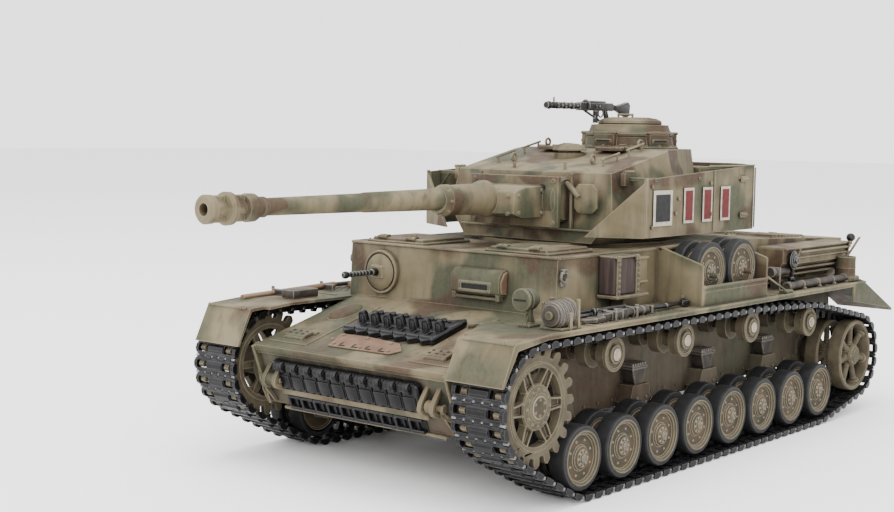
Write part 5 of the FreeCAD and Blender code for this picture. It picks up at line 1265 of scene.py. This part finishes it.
# ---- engine deck, air intakes and rear ----------------------------------------------------
def make_intake_louvres():
    """Louvre rails, brackets and stowed tools along the cooling air intake."""
    low, high = -84.6, -49.2
    y0, top = 27.8, ROOF_Z - 2.4
    rails = []
    for i in range(5):
        z = top - 0.7 - i * 1.35
        lean = 7.75 - i * 0.42
        rails.append(side_plate([(low, z), (high - 7.4, z), (high - 7.4, z - 0.55), (low, z - 0.55)],
                                y0 + lean - 0.3, y0 + lean + 0.45, 0.2))
    rails += [block((low, y0, top - 0.2), (high, y0 + 8.0, top + 0.35), 0.2),
              block((low - 0.2, y0 + 4.6, top - 7.0), (high + 0.2, y0 + 5.4, top - 6.2), 0.2),
              block((low, y0 + 2.8, FENDER_Z + 0.8), (high, y0 + 3.6, FENDER_Z + 1.6), 0.2)]
    for i in range(5):
        x = low + 3.6 + i * 7.4
        foot = plate([(x - 2.6, y0 + 2.9, FENDER_Z + 1.2), (x + 2.6, y0 + 2.9, FENDER_Z + 1.2),
                      (x + 0.5, y0 + 5.2, top - 6.3),
                      (x - 0.5, y0 + 5.2, top - 6.3)], (0, 0.35, 0), 0.08)
        rails.append(foot)
    for x in (low, high - 7.4):
        rails.append(plate([(x, y0 + 7.7, top + 0.2), (x, y0 + 8.3, top + 0.2), (x, y0 + 5.9, top - 6.6),
                            (x, y0 + 5.2, top - 6.6)],
                           (0.5, 0, 0), 0.1))
    left = dressed("left_intake_louvres", "hull_paint", rails)
    right = mirrored(left)
    right.name = "right_intake_louvres"
    fitted(left, "hull", "hull_paint")
    fitted(right, "hull", "hull_paint")
    brace = [plate([(low - 0.4, y0 + 5.4, top - 6.2), (low - 0.4, y0 + 6.3, top - 6.2),
                    (low + 2.6, y0 + 8.4, top + 0.5), (low + 1.8, y0 + 8.4, top + 0.5)],
                   (0, 0.5, 0), 0.1),
             plate([(low - 0.2, y0 + 5.4, top - 6.2), (low + 0.6, y0 + 5.4, top - 6.2),
                    (low - 3.8, y0 + 8.2, top + 1.2), (low - 4.6, y0 + 8.2, top + 1.2)],
                   (0, 0.5, 0), 0.1)]
    fitted(dressed("deck_end_brace", "rim_paint", brace), "hull", "hull_paint")
    dark = [ball((low - 0.6, y0 + 7.6, top + 1.2), 1.15, (1, 1, 0.95), 18),
            rod((low - 0.6, y0 + 7.6, top - 0.6), (low - 0.6, y0 + 7.6, top + 0.6), 0.45, 10)]
    x, y, z = high - 3.4, y0 + 8.0, top - 2.6
    dark += [turned([(-0.5, 0), (-0.5, 1.9), (0.3, 2.1), (0.7, 1.7), (0.8, 0.9), (1.3, 0.7), (1.3, 0)],
                    (x, y, z), "y", 28),
             rod((x, y, z - 1.8), (x - 0.6, y - 0.6, z - 4.4), 0.5, 10,
                 0.1), ball((x - 0.7, y - 0.6, z - 4.8), 0.85, (1, 1, 1), 12)]
    fitted(dressed("deck_end_knob", "gun_metal", dark), "hull", "tools")
    gear = [rod((high + 4.6, y0 + 6.6, FENDER_Z + 4.4), (high - 5.0, y0 + 6.6, FENDER_Z + 4.2), 1.0, 16,
                0.2),
            rod((high + 5.4, y0 + 6.6, FENDER_Z + 4.4), (high + 4.4, y0 + 6.6, FENDER_Z + 4.4), 1.35, 16,
                0.2),
            block((high + 2.0, y0 + 5.4, FENDER_Z), (high + 2.6, y0 + 7.8, FENDER_Z + 5.4), 0.12)]
    fitted(dressed("stowed_pipe", "tools", gear), "hull", "tools")


def make_rear_fender_gear():
    z = FENDER_Z
    roll = [rod((-48.0, 37.4, z + 1.0), (-80.6, 37.6, z + 1.0), 1.0, 16, 0.25),
            rod((-50.0, 35.0, z + 0.8), (-81.0, 35.2, z + 0.8), 0.85, 16, 0.2)]
    for x in (-54.0, -62.0, -70.0, -77.0):
        roll.append(ring((x, 37.5, z + 1.0), "x", 1.02, 0.16, 20, 6))
        roll.append(block((x - 0.35, 34.0, z), (x + 0.35, 38.9, z + 0.5), 0.12))
    roll.append(rod((-46.6, 37.4, z + 1.0), (-48.4, 37.4, z + 1.0), 1.25, 12, 0.25))
    fitted(dressed("stowed_bars", "tools", roll), "hull", "tools")
    can = [turned([(0, 0), (0, 2.5), (0.25, 2.65), (0.6, 2.55), (2.0, 2.5), (2.2, 2.62), (2.5, 2.5),
                   (4.6, 2.5), (4.9, 2.62), (5.1, 2.4),
                   (5.0, 2.1), (4.7, 2.0), (4.6, 0)], (-79.6, 36.8, z + 1.2), "z", 32),
           block((-82.6, 34.2, z), (-76.8, 39.4, z + 1.4), 0.3)]
    fitted(dressed("rear_light_can", "gun_paint", can), "hull", "hull_paint")


GRILLE_WIDTH = 12.4


def louvre_panel(x0, x1, y0, y1, z, slats):
    parts = [block((x0, y0, z - 0.3), (x1, y1, z + 0.35), 0.12)]
    for i in range(slats):
        x = x0 + 1.2 + (x1 - x0 - 2.4) * i / (slats - 1)
        parts.append(plate([(x - 0.5, y0 + 1.0, z + 0.3), (x + 0.5, y0 + 1.0, z + 0.3),
                            (x + 0.2, y0 + 1.0, z + 0.95), (x - 0.6, y0 + 1.0, z + 0.7)],
                           (0, y1 - y0 - 2.0, 0), 0.06))
    return parts


def make_engine_deck():
    z = ROOF_Z - 0.15
    slope = math.atan2(2.2, 46.8)
    parts = []
    for y0 in (-26.4, -12.6, 1.0, 14.4):
        parts += louvre_panel(-76.0, -60.5, y0, y0 + GRILLE_WIDTH, z, 8)
    parts += [block((-90.8, -24.0, z - 0.3), (-78.0, 24.0, z + 0.3), 0.15)]
    for y in (-20.0, 12.0):
        parts.append(block((-88.6, y, z + 0.2), (-80.2, y + 8.6, z + 0.75), 0.2))
        for x in (-87.6, -81.2):
            parts.append(rod((x, y - 1.0, z + 0.5), (x, y + 1.4, z + 0.5), 0.4, 10, 0.08))
    for y in (-26.6, -13.0, 0.4, 13.8, 26.2):
        for x in (-77.0, -59.6):
            parts.append(rod((x, y, z + 0.2), (x, y, z + 0.55), 0.35, 6))
    tilt = Matrix.Translation((-45 * MM, 0, ROOF_Z * MM)) @ Matrix.Rotation(-slope, 4,
        "Y") @ Matrix.Translation((45 * MM, 0, -ROOF_Z * MM))
    laid(parts, tilt)
    fitted(dressed("engine_deck_panels", "hull_paint", parts), "hull", "hull_paint")


def make_rear_plate():
    x = mm_box("lower_hull")[0].x
    low = mm_box("exhaust_muffler")[0]
    spot = ((low.x + 3.3), 0, (low.z + 3.3))
    r = 3.2
    drum = [(-16.2, 0), (-16.2, 1.6), (-15.8, 2.3), (-15.2, 2.9), (-14.4, r), (-9.8, r), (-9.6, r + 0.2),
            (-9.0, r + 0.2), (-8.8, r),
            (-0.5, r), (-0.3, r + 0.15), (0.3, r + 0.15), (0.5, r), (8.8, r), (9.0, r + 0.2), (9.6,
                r + 0.2), (9.8, r), (14.4, r),
            (15.2, 2.9), (15.8, 2.3), (16.2, 1.6), (16.2, 0)]
    muffler = [turned(drum, spot, "y", 40),
               rod((spot[0] + 0.4, -8.0, spot[2] + 2.0), (spot[0] + 0.2, -8.0, spot[2] + 6.2), 1.0, 16),
               turned([(6.0, 0.7), (6.3, 1.1), (6.6, 1.1), (6.6, 0.75), (6.0, 0.7)],
                      (spot[0] + 0.2, -8.0, spot[2]), "z", 20)]
    for y in (-10.2, 8.6):
        muffler.append(block((spot[0] - 0.4, y, spot[2] - 1.4), (x + 0.1, y + 1.4, spot[2] + 4.0), 0.2))
        muffler.append(ring((spot[0], y + 0.7, spot[2]), "y", r + 0.1, 0.22, 36, 6))
    fitted(dressed("exhaust_silencer", "brown_paint", muffler), "hull", "hull_paint", "exhaust_muffler")
    parts = [block((x - 0.5, -9.0, 21.4), (x + 0.1, 9.0, 25.0), 0.2),
             side_plate([(x, 15.2), (x - 2.8, 16.2), (x - 3.6, 17.4), (x - 2.8, 18.6), (x, 19.6)], -2.2,
                        -1.0, 0.2),
             side_plate([(x, 15.2), (x - 2.8, 16.2), (x - 3.6, 17.4), (x - 2.8, 18.6), (x, 19.6)], 1.0,
                        2.2, 0.2),
             rod((x - 2.6, -2.8, 17.4), (x - 2.6, 2.8, 17.4), 0.6, 12, 0.1)]
    for side in (-1, 1):
        for z in (15.0, 18.4):
            parts.append(rod((x - 0.4, side * 12.0, z), (x + 0.1, side * 12.0, z), 0.6, 6, 0.05))
        parts.append(turned([(-0.9, 0), (-0.9, 1.2), (-0.5, 1.6), (0.2, 1.7), (0.2, 0)],
                            (x, side * 17.0, 19.0), "x", 24))
        tow = side_plate([(x + 0.1, 12.6), (x - 2.6, 13.2), (x - 3.2, 14.6), (x - 2.2, 15.8),
                          (x + 0.1, 16.2)], side * 21.4 - 0.7, side * 21.4 + 0.7, 0.25, 2)
        parts += [tow,
                  rod((x - 2.0, side * 21.4 - 1.5, 14.5), (x - 2.0, side * 21.4 + 1.5, 14.5), 0.5, 12, 0.1)]
    for y in (-23.0, -14.0, 14.0, 23.0):
        parts.append(rod((x - 0.35, y, 29.8), (x + 0.1, y, 29.8), 0.5, 6, 0.05))
    fitted(dressed("rear_plate_fittings", "hull_paint", parts), "hull", "hull_paint")


def make_hull_side_bolts():
    """Flanges, drive housings and bolts along the tub side, and a row of bolts below."""
    parts = []
    for x in (-50.0, -21.5, 7.3, 36.0):
        parts += bolts((x, 26.0, 22.6), "y", 1.9, 6, 0.32, 0.35)
        parts.append(turned([(0, 0), (0, 1.1), (0.6, 0.9), (0.6, 0)], (x, 26.0, 22.6), "y", 16))
    parts += bolts((SPROCKET.x, 26.0, SPROCKET.z), "y", 6.6, 12, 0.4, 0.5)
    parts.append(turned([(0, 0), (0, 7.4), (0.5, 7.2), (0.7, 6.0), (1.6, 5.6), (1.6, 0)],
                        (SPROCKET.x, 25.9, SPROCKET.z), "y", 40))
    parts += bolts((IDLER.x, 26.0, IDLER.z), "y", 4.6, 8, 0.36, 0.4)
    parts.append(turned([(0, 0), (0, 5.4), (0.4, 5.2), (0.4, 0)], (IDLER.x, 25.9, IDLER.z), "y", 32))
    for i in range(26):
        parts.append(rod((-84.0 + i * 5.2, 25.9, 13.4), (-84.0 + i * 5.2, 26.3, 13.4), 0.3, 6))
    # The tub side takes the darker copy of the camouflage: painted shade under the fenders.
    left = dressed("left_hull_side_bolts", "tub_shaded_paint", parts)
    right = mirrored(left)
    right.name = "right_hull_side_bolts"
    fitted(left, "hull", "hull_paint")
    fitted(right, "hull", "hull_paint")
# ---- turret -------------------------------------------------------------------------------
TURRET_Y = 1.0
GUN_Z = 55.7
SKIRT_Y = mm_box("turret_skirt")[1].y - TURRET_Y
SKIRT_SIDES = ((1, "left"), (-1, "right"))
ROOF_TOP = 66.1
ROOF_FRONT = 61.2
ROOF_FRONT_X = 5.0
ROOF_RISE = 4.9 / 23.0


def make_mantlet():
    """Flat shield with the square gun block and round sleeve in front of the drum."""
    y, z = TURRET_Y, GUN_Z
    parts = [turned([(-11.2, 0), (-11.2, 4.4), (-10.6, 4.9), (10.6, 4.9), (11.2, 4.4), (11.2, 0)],
                    (8.2, y, z - 0.4), "y", 36)]
    plate_shape = [(11.2, y - 12.0, z - 6.4), (11.2, y - 12.0, z + 4.6), (11.2, y + 12.0, z + 4.6),
                   (11.2, y + 12.0, z - 6.4)]
    parts.append(plate(plate_shape, (1.2, 0, 0), 0.25, 2))
    parts.append(plate([(12.2, y - 8.35, z - 4.3), (12.2, y - 8.35, z + 2.6), (19.0, y - 8.35, z + 2.4),
                        (22.8, y - 8.35, z + 1.4),
                        (23.2, y - 8.35, z - 3.2), (20.0, y - 8.35, z - 4.2)], (0, 16.7, 0), 0.35, 2))
    for side in (-1, 1):
        for x, dz in ((13.4, -3.2), (13.4, 1.6), (21.4, 0.6), (21.4, -3.0)):
            parts.append(rod((x, y + side * 8.3, z + dz), (x, y + side * 8.65, z + dz), 0.42, 8, 0.06))
        for dz in (-5.4, 3.6):
            parts.append(rod((12.3, y + side * 10.8, z + dz), (12.75, y + side * 10.8, z + dz), 0.5, 8,
                             0.06))
    for dz in (-4.0, 1.4):
        for side in (-1, 1):
            parts.append(rod((22.6, y + side * 6.8, z + dz * 0.7 - 0.4),
                             (23.5, y + side * 6.8, z + dz * 0.7 - 0.4), 0.42, 8, 0.06))
    shoulder = [(22.6, 0), (22.6, 3.95), (23.4, 3.95), (24.2, 3.75), (25.0, 3.45), (26.4, 3.3),
                (34.6, 3.15), (35.0, 3.3), (36.4, 3.3),
                (36.8, 3.0), (37.4, 2.7), (38.2, 2.6), (38.3, 2.0), (38.3, 0)]
    parts.append(turned(shoulder, (0, y, z - 0.3), "x", 40))
    parts += bolts((36.5, y, z - 0.3), "x", 2.95, 8, 0.2, 0.5)
    fitted(dressed("mantlet_shield", "turret_paint", parts), "gun", "turret_paint", "gun_mantlet")
    # Painted shade in the gunsight opening.
    sight = [rod((11.6, 9.0, z + 2.2), (13.0, 9.0, z + 2.2), 0.7, 14, 0.1),
             rod((12.6, 9.0, z + 2.2), (13.1, 9.0, z + 2.2), 0.45, 12)]
    fitted(dressed("sight_opening", "hole_shade", sight), "gun", "turret_paint")


def make_barrel():
    y, z = TURRET_Y, GUN_Z
    tube = [(30.0, 0), (30.0, 2.2), (38.2, 2.3), (38.6, 2.25), (60.0, 1.98), (60.3, 1.85), (86.2, 1.62),
            (86.4, 1.9), (87.0, 1.9), (87.2, 1.75),
            (88.4, 1.75), (88.6, 2.35), (89.0, 2.55), (90.6, 2.6), (91.2, 2.3), (91.4, 1.3), (93.8,
                1.3), (94.2, 2.5), (94.4, 2.95),
            (95.4, 3.0), (95.8, 2.6), (96.0, 1.35), (98.2, 1.35), (98.6, 2.2), (98.8, 2.55), (100.0,
                2.6), (100.3, 2.3), (100.3, 1.15),
            (97.0, 1.1), (97.0, 0)]
    barrel = turned(tube, (0, y, z), "x", 48)
    webs = []
    for lean in (-1, 1):
        webs.append(block((90.8, y - 0.5, z + lean * 1.75 - 0.65), (98.9, y + 0.5, z + lean * 1.75 + 0.65),
                          0.15))
    fitted(dressed("main_gun_barrel", "gun_paint", [barrel] + webs), "gun", "gun_metal", "gun_barrel")
    # Painted shade at the bottom of the bore.
    fitted(dressed("muzzle_bore", "hole_shade", [rod((97.0, y, z), (97.15, y, z), 1.09, 24)]), "gun",
           "gun_metal")


def make_turret_front():
    y = TURRET_Y
    port = [plate([(8.2, 14.9, 53.6), (8.2, 14.9, 57.6), (8.2, 15.9, 58.8), (8.2, 19.6, 58.8),
                   (8.2, 20.7, 57.6), (8.2, 20.7, 53.6), (8.2, 19.6, 52.6),
                   (8.2, 15.9, 52.6)], (0.9, 0, 0), 0.2, 2),
            rod((9.0, 12.8, 58.9), (9.4, 16.4, 56.0), 0.62, 14, 0.08)]
    left = [side_plate([(0.4, 58.5), (4.2, 58.5), (4.2, 61.3), (0.4, 61.3)], 23.4, 24.6, 0.25, 2),
            rod((0.6, 24.4, 61.5), (4.2, 24.4, 61.5), 0.36, 10)]
    right = [mirrored(piece, y) for piece in left]
    lower = [block((7.9, y - 18.0, 48.6), (8.6, y + 18.0, 49.0), 0.08),
             block((7.6, y + 12.2, 49.0), (8.5, y + 12.8, 61.0), 0.12),
             block((7.6, y - 12.8, 49.0), (8.5, y - 12.2, 61.0), 0.12)]
    fitted(dressed("turret_front_fittings", "turret_paint", port + left + right + lower), "turret",
           "turret_paint")


def roof_height(x):
    """Turret roof height: it rises towards the rear and is level from the middle on."""
    return min(ROOF_TOP, ROOF_FRONT + (ROOF_FRONT_X - x) * ROOF_RISE)


def make_turret_roof():
    y = TURRET_Y
    fan = [(-1.2, 0), (-1.2, 3.5), (0.5, 3.5), (0.7, 3.2), (0.7, 2.6), (1.2, 2.6), (1.2, 3.9), (1.5, 3.9),
           (2.2, 3.3), (2.7, 2.2), (2.9, 0)]
    parts = [turned(fan, (-10.0, y - 1.0, roof_height(-10.0)), "z", 40)]
    for x, yy in ((-2.0, 12.0), (-2.0, -10.0), (-18.0, 14.0), (-18.0, -12.0)):
        z = roof_height(x)
        parts += [rod((x, yy, z - 1.2), (x, yy, z + 0.9), 0.3, 8),
                  ring((x, yy, z + 1.2), "y", 0.85, 0.27, 20, 8)]
    parts.append(rod((3.0, 8.0, roof_height(3.0) - 0.8), (3.0, 8.0, roof_height(3.0) + 1.7), 0.35, 10,
                     0.05))
    parts.append(rod((3.0, -6.0, roof_height(3.0) - 0.8), (3.0, -6.0, roof_height(3.0) + 1.2), 0.35, 10,
                     0.05))
    for side in (-1, 1):
        for x0, x1 in ((-7.0, 0.0), (-17.0, -10.0)):
            yy = y + side * 14.6
            for x in (x0 + 0.8, x1 - 0.8):
                parts.append(rod((x, yy, roof_height(x) - 1.4), (x, yy, roof_height(x) + 1.5), 0.24, 8))
            parts.append(rod((x0, yy, roof_height(x0) + 1.5), (x1, yy, roof_height(x1) + 1.5), 0.26, 8))
        lid = [block((-20.0, y + side * 8.0 - 3.6, 65.6), (-12.4, y + side * 8.0 + 3.6, 66.5), 0.25, 2),
               rod((-18.4, y + side * 8.0, 66.4), (-18.4, y + side * 8.0, 67.2), 0.9, 14, 0.15)]
        for x in (-19.0, -13.6):
            lid.append(rod((x, y + side * 11.4 - 0.9, 66.4), (x, y + side * 11.4 + 0.9, 66.4), 0.4, 10,
                           0.06))
        parts += lid
    fitted(dressed("turret_roof_fittings", "turret_paint", parts), "turret", "turret_paint",
           "turret_fittings")


def skirt_mark(name, finish, pieces):
    fitted(dressed(name, finish, pieces), "turret", "turret_paint")


def make_skirt_details():
    """Hinges, latches, bolts and hangers of the skirt, and its painted bars and squares."""
    out = SKIRT_Y
    parts = []
    for x, z in ((-20.6, 58.9), (-7.0, 55.8), (-5.8, 52.7), (-21.0, 52.1), (3.6, 50.0), (3.8, 58.6)):
        parts.append(rod((x, out - 0.05, z), (x, out + 0.35, z), 0.42, 8, 0.06))
    for z in (59.6, 51.3):
        parts.append(block((-37.0, out - 0.05, z - 0.7), (-34.0, out + 0.5, z + 0.7), 0.18))
        parts.append(rod((-36.9, out + 0.5, z), (-34.1, out + 0.5, z), 0.3, 8))
    parts.append(block((-41.1, out - 0.05, 48.2), (-40.7, out + 0.25, 62.2), 0.06))
    parts.append(block((-22.4, out - 0.05, 48.2), (-22.1, out + 0.12, 61.8), 0.04))
    parts.append(block((5.5, out - 0.2, 47.9), (6.3, out + 0.3, 60.4), 0.12))
    parts.append(rod((-40.8, out - 0.1, 62.7), (-20.0, out - 0.1, 62.7), 0.2, 6))
    for x in (2.0, -16.0, -34.0):
        parts.append(block((x - 0.5, 22.6, 59.6), (x + 0.5, out, 60.4), 0.12))
        parts.append(plate([(x - 0.3, out - 0.3, 59.6), (x - 0.3, out - 3.4, 59.6),
                            (x - 0.3, out - 0.3, 56.2)], (0.6, 0, 0), 0.08))
    left = [shifted(piece, 0, TURRET_Y, 0) for piece in parts]
    for piece in parts:
        bpy.data.objects.remove(piece)
    right = [mirrored(piece, TURRET_Y) for piece in left]
    fitted(dressed("skirt_fittings", "turret_paint", left + right), "turret", "turret_paint")
    for side, tag in SKIRT_SIDES:
        face = TURRET_Y + side * (out + 0.03)
        white, red, dark = [], [], []
        for x in (-11.3, -19.3, -27.3):
            white.append(flat_bar(x - 2.1, x + 2.1, 50.4, 58.1, face, side * 0.05))
            red.append(flat_bar(x - 1.5, x + 1.5, 51.0, 57.5, face, side * 0.11))
        white.append(flat_bar(-4.4, 3.2, 50.2, 57.8, face, side * 0.05))
        dark.append(flat_bar(-3.5, 2.3, 51.1, 56.9, face, side * 0.11))
        skirt_mark(tag + "_mark_borders", "white_mark", white)
        skirt_mark(tag + "_mark_bars", "red_mark", red)
        skirt_mark(tag + "_mark_square", "dark_mark", dark)


def flat_bar(x0, x1, z0, z1, face, rise):
    return plate([(x0, face, z0), (x1, face, z0), (x1, face, z1), (x0, face, z1)], (0, rise, 0), 0)


def make_bin_details():
    low, high = mm_box("turret_bin")
    parts = [block((low.x + 0.4, low.y + 0.6, high.z - 0.4), (high.x - 1.0, high.y - 0.6, high.z + 0.4),
                   0.2, 2)]
    for y in (low.y + 6.0, high.y - 6.0):
        parts.append(block((low.x - 0.35, y - 0.9, high.z - 3.6), (low.x + 0.2, y + 0.9, high.z + 0.3),
                           0.15))
        parts.append(rod((low.x - 0.3, y - 0.9, high.z - 3.4), (low.x - 0.3, y + 0.9, high.z - 3.4), 0.4,
                         10, 0.06))
        parts.append(block((high.x - 3.0, y - 1.2, high.z + 0.2), (high.x - 0.6, y + 1.2, high.z + 0.7),
                           0.15))
    for z in (low.z + 2.2, low.z + 6.2):
        parts.append(block((low.x - 0.25, low.y + 2.4, z), (low.x + 0.2, high.y - 2.4, z + 0.8), 0.15))
    fitted(dressed("turret_bin_trim", "turret_paint", parts), "turret", "turret_paint")


# ---- commander's cupola -------------------------------------------------------------------
CUPOLA = (-32.0, 2.0)


def make_cupola():
    x, y = CUPOLA
    tiers = [(0, 0), (0, 11.4), (0.6, 11.7), (2.0, 11.7), (2.3, 11.3), (2.4, 10.6), (4.4, 10.2),
             (4.8, 10.5), (5.2, 10.5), (5.5, 10.2), (5.9, 9.7),
             (7.0, 9.3), (7.3, 9.3), (7.4, 7.6), (7.2, 7.2), (7.2, 0)]
    ringed = [turned(tiers, (x, y, 64.4), "z", 64)]
    housing = []
    for i in range(5):
        turn = math.radians(72 * i)
        spot = Vector((x + math.cos(turn) * 10.2, y + math.sin(turn) * 10.2, 68.0))
        frame_m = Matrix.Translation(spot * MM) @ Matrix.Rotation(turn, 4, "Z")
        shade = [block((-1.2, -2.9, -1.4), (1.0, 2.9, 1.9), 0.4, 2),
                 block((0.7, -2.2, -0.5), (1.3, 2.2, 0.2), 0.1),
                 block((-0.6, -3.3, 1.4), (1.2, 3.3, 2.1), 0.3)]
        laid(shade, frame_m)
        housing += shade
    ringed += housing + bolts((x, y, 66.6), "z", 11.2, 20, 0.28, 0.35)
    fitted(dressed("commander_cupola", "turret_paint", ringed), "turret", "turret_paint", "cupola")
    lid = [turned([(0, 0), (0, 7.4), (0.5, 7.7), (1.1, 7.5), (1.6, 6.4), (1.9, 4.6), (1.9, 0)],
                  (x, y, 71.6), "z", 48),
           block((x - 9.4, y - 1.6, 71.0), (x - 6.4, y + 1.6, 73.0), 0.3, 2), rod((x - 8.8, y - 2.4, 72.6),
               (x - 8.8, y + 2.4, 72.6), 0.55, 12, 0.1),
           rod((x + 2.0, y - 2.2, 74.1), (x + 2.0, y + 2.2, 74.1), 0.28, 8), rod((x + 2.0, y - 2.0, 73.3),
               (x + 2.0, y - 2.0, 74.2), 0.26, 8),
           rod((x + 2.0, y + 2.0, 73.3), (x + 2.0, y + 2.0, 74.2), 0.26, 8)]
    fitted(dressed("cupola_lid", "turret_paint", lid), "turret", "turret_paint", "cupola_hatch")
    slits = []
    for i in range(5):
        turn = math.radians(72 * i)
        spot = Vector((x + math.cos(turn) * 11.15, y + math.sin(turn) * 11.15, 67.9))
        frame_m = Matrix.Translation(spot * MM) @ Matrix.Rotation(turn, 4, "Z")
        slit = [block((0.2, -1.8, -0.22), (0.42, 1.8, 0.22), 0)]
        laid(slit, frame_m)
        slits += slit
    # Painted shade in the vision slits.
    fitted(dressed("cupola_slits", "hole_shade", slits), "turret", "turret_paint")


# ---- roof machine gun ---------------------------------------------------------------------
ROOF_GUN = (-24.0, -2.6, 75.9)


def make_roof_gun():
    x, y, z = ROOF_GUN
    tube = [(7.0, 0), (7.0, 0.75), (18.0, 0.75), (18.3, 0.55), (18.6, 0.55), (18.9, 0.95), (20.0, 0.75),
            (20.0, 0)]
    parts = [turned(tube, (x, y, z), "x", 20),
             block((x - 6.6, y - 0.85, z - 1.0), (x + 7.4, y + 0.85, z + 0.95), 0.3, 2),
             block((x - 3.0, y - 1.05, z + 0.8), (x + 4.0, y + 1.05, z + 1.35), 0.25,
                   2), rod((x + 17.0, y, z + 0.6), (x + 17.0, y, z + 1.9), 0.22, 8),
             side_plate([(x - 6.2, z + 0.7), (x - 8.6, z + 0.4), (x - 13.6, z + 1.4), (x - 14.4, z + 0.6),
                         (x - 14.0, z - 2.2), (x - 12.8, z - 2.4),
                         (x - 8.8, z - 0.9), (x - 6.2, z - 0.8)], y - 0.65, y + 0.65, 0.3, 2),
             side_plate([(x - 4.6, z - 0.8), (x - 3.4, z - 0.8), (x - 4.4, z - 3.6), (x - 5.8, z - 3.6)],
                        y - 0.45, y + 0.45, 0.25, 2),
             ring((x - 2.2, y, z - 1.5), "y", 1.0, 0.2, 16, 6), rod((x + 0.6, y + 0.8, z),
                 (x + 0.6, y + 1.8, z + 0.1), 0.25, 8),
             rod((x, y, z - 3.9), (x, y, z - 0.8), 0.65, 14, 0.1), rod((x - 1.4, y, z - 3.2),
                 (x + 4.6, y, z - 1.0), 0.3, 8),
             ring((x + 4.2, y, z + 0.2), "x", 1.25, 0.22, 20, 6)]
    for i in range(6):
        for turn in (0, 60, 120, 180, 240, 300):
            a = math.radians(turn + 30 * (i % 2))
            spot = Vector((x + 8.4 + i * 1.5, y + math.cos(a) * 0.72, z + math.sin(a) * 0.72))
            parts.append(ball(spot, 0.2, (1.7, 1, 1), 6))
    fitted(dressed("roof_machine_gun", "gun_metal", parts), "aa_gun", "gun_metal", "aa_gun")


# ---- floor, light and camera --------------------------------------------------------------
def make_studio():
    put_down()
    bpy.ops.mesh.primitive_plane_add(size=6, location=(0, 0, -0.0002))
    floor = named("floor")
    edit(floor)
    bpy.ops.mesh.subdivide(number_cuts=4)
    done()
    material, _, shader = new_finish("pale_floor", 0.9)
    shader.inputs["Base Color"].default_value = (0.86, 0.86, 0.86, 1)
    painted(floor, material)
    world = bpy.data.worlds.new("studio")
    bpy.context.scene.world = world
    world.use_nodes = True
    world.node_tree.nodes["Background"].inputs["Color"].default_value = (1, 1, 1, 1)
    world.node_tree.nodes["Background"].inputs["Strength"].default_value = 2.4
    lamps = (("overhead", (0.05, 0.05, 0.75), 0.7, 6.0), ("front_left", (0.65, 0.55, 0.42), 0.5, 6.0),
             ("right_front", (0.55, -0.6, 0.35), 0.5, 3.0))
    for name, place, size, power in lamps:
        light = bpy.data.lights.new(name, "AREA")
        light.size = size
        light.energy = power
        lamp = bpy.data.objects.new(name, light)
        bpy.context.scene.collection.objects.link(lamp)
        lamp.location = place
        lamp.rotation_euler = (Vector((-0.01, 0, 0.03)) - Vector(place)).to_track_quat("-Z", "Y").to_euler()


def make_camera():
    """Low three-quarter view from ahead of the tank's left side."""
    yaw, pitch, roll = math.radians(129.99), math.radians(5.12), math.radians(0.86)
    back = Vector((math.sin(yaw) * math.cos(pitch), -math.cos(yaw) * math.cos(pitch), math.sin(pitch)))
    right = Vector((math.cos(yaw), math.sin(yaw), 0))
    up = back.cross(right)
    across = right * math.cos(roll) + up * math.sin(roll)
    upright = up * math.cos(roll) - right * math.sin(roll)
    data = bpy.data.cameras.new("camera")
    data.lens = 58.03
    data.sensor_width = 36
    camera = bpy.data.objects.new("camera", data)
    bpy.context.scene.collection.objects.link(camera)
    turn = Matrix((across, upright, back)).transposed().to_4x4()
    camera.matrix_world = Matrix.Translation(Vector((263.5, 192.95, 70.55)) * MM) @ turn
    data.clip_start = 0.01
    bpy.context.scene.camera = camera


make_camera()
make_studio()
make_tracks()
road_wheel, wheel_spot, wheel_r = make_road_wheels()
make_return_rollers()
make_sprockets()
make_idlers()
make_suspension_details()
make_glacis_links()
make_nose_links()
make_nose_fittings()
make_glacis_details()
make_bow_gun()
make_driver_visor()
make_roof_hatches()
make_fender_details()
make_headlamp()
make_horn()
make_jack_block()
make_left_tools()
make_right_tools()
make_spare_wheels(road_wheel, wheel_spot)
make_intake_louvres()
make_rear_fender_gear()
make_engine_deck()
make_rear_plate()
make_hull_side_bolts()
make_mantlet()
make_barrel()
make_turret_front()
make_turret_roof()
make_skirt_details()
make_bin_details()
make_cupola()
make_roof_gun()
# Tub and bogies in the darker copy of the camouflage: painted shade under the fenders.
finished_nodes("tub_shaded_paint", "lower_hull", "suspension_units")
finished_nodes("hull_paint", "upper_hull", "fenders", "spare_wheel_box")
finished_nodes("turret_paint", "turret_shell", "turret_skirt", "turret_bin")
finished_nodes("motor_steel", "drive_gearboxes", "traverse_motor", "elevation_motor")
finished_nodes("board", "receiver_board")
finished_nodes("cells", "battery_pack")
finished_nodes("black_plastic", "battery_door", "power_switch")
finished_nodes("gear_plastic", "traverse_pinion", "left_motor_pinion", "right_motor_pinion")
finished_nodes("screw_steel", "hull_screws")
bpy.data.objects.remove(road_wheel)
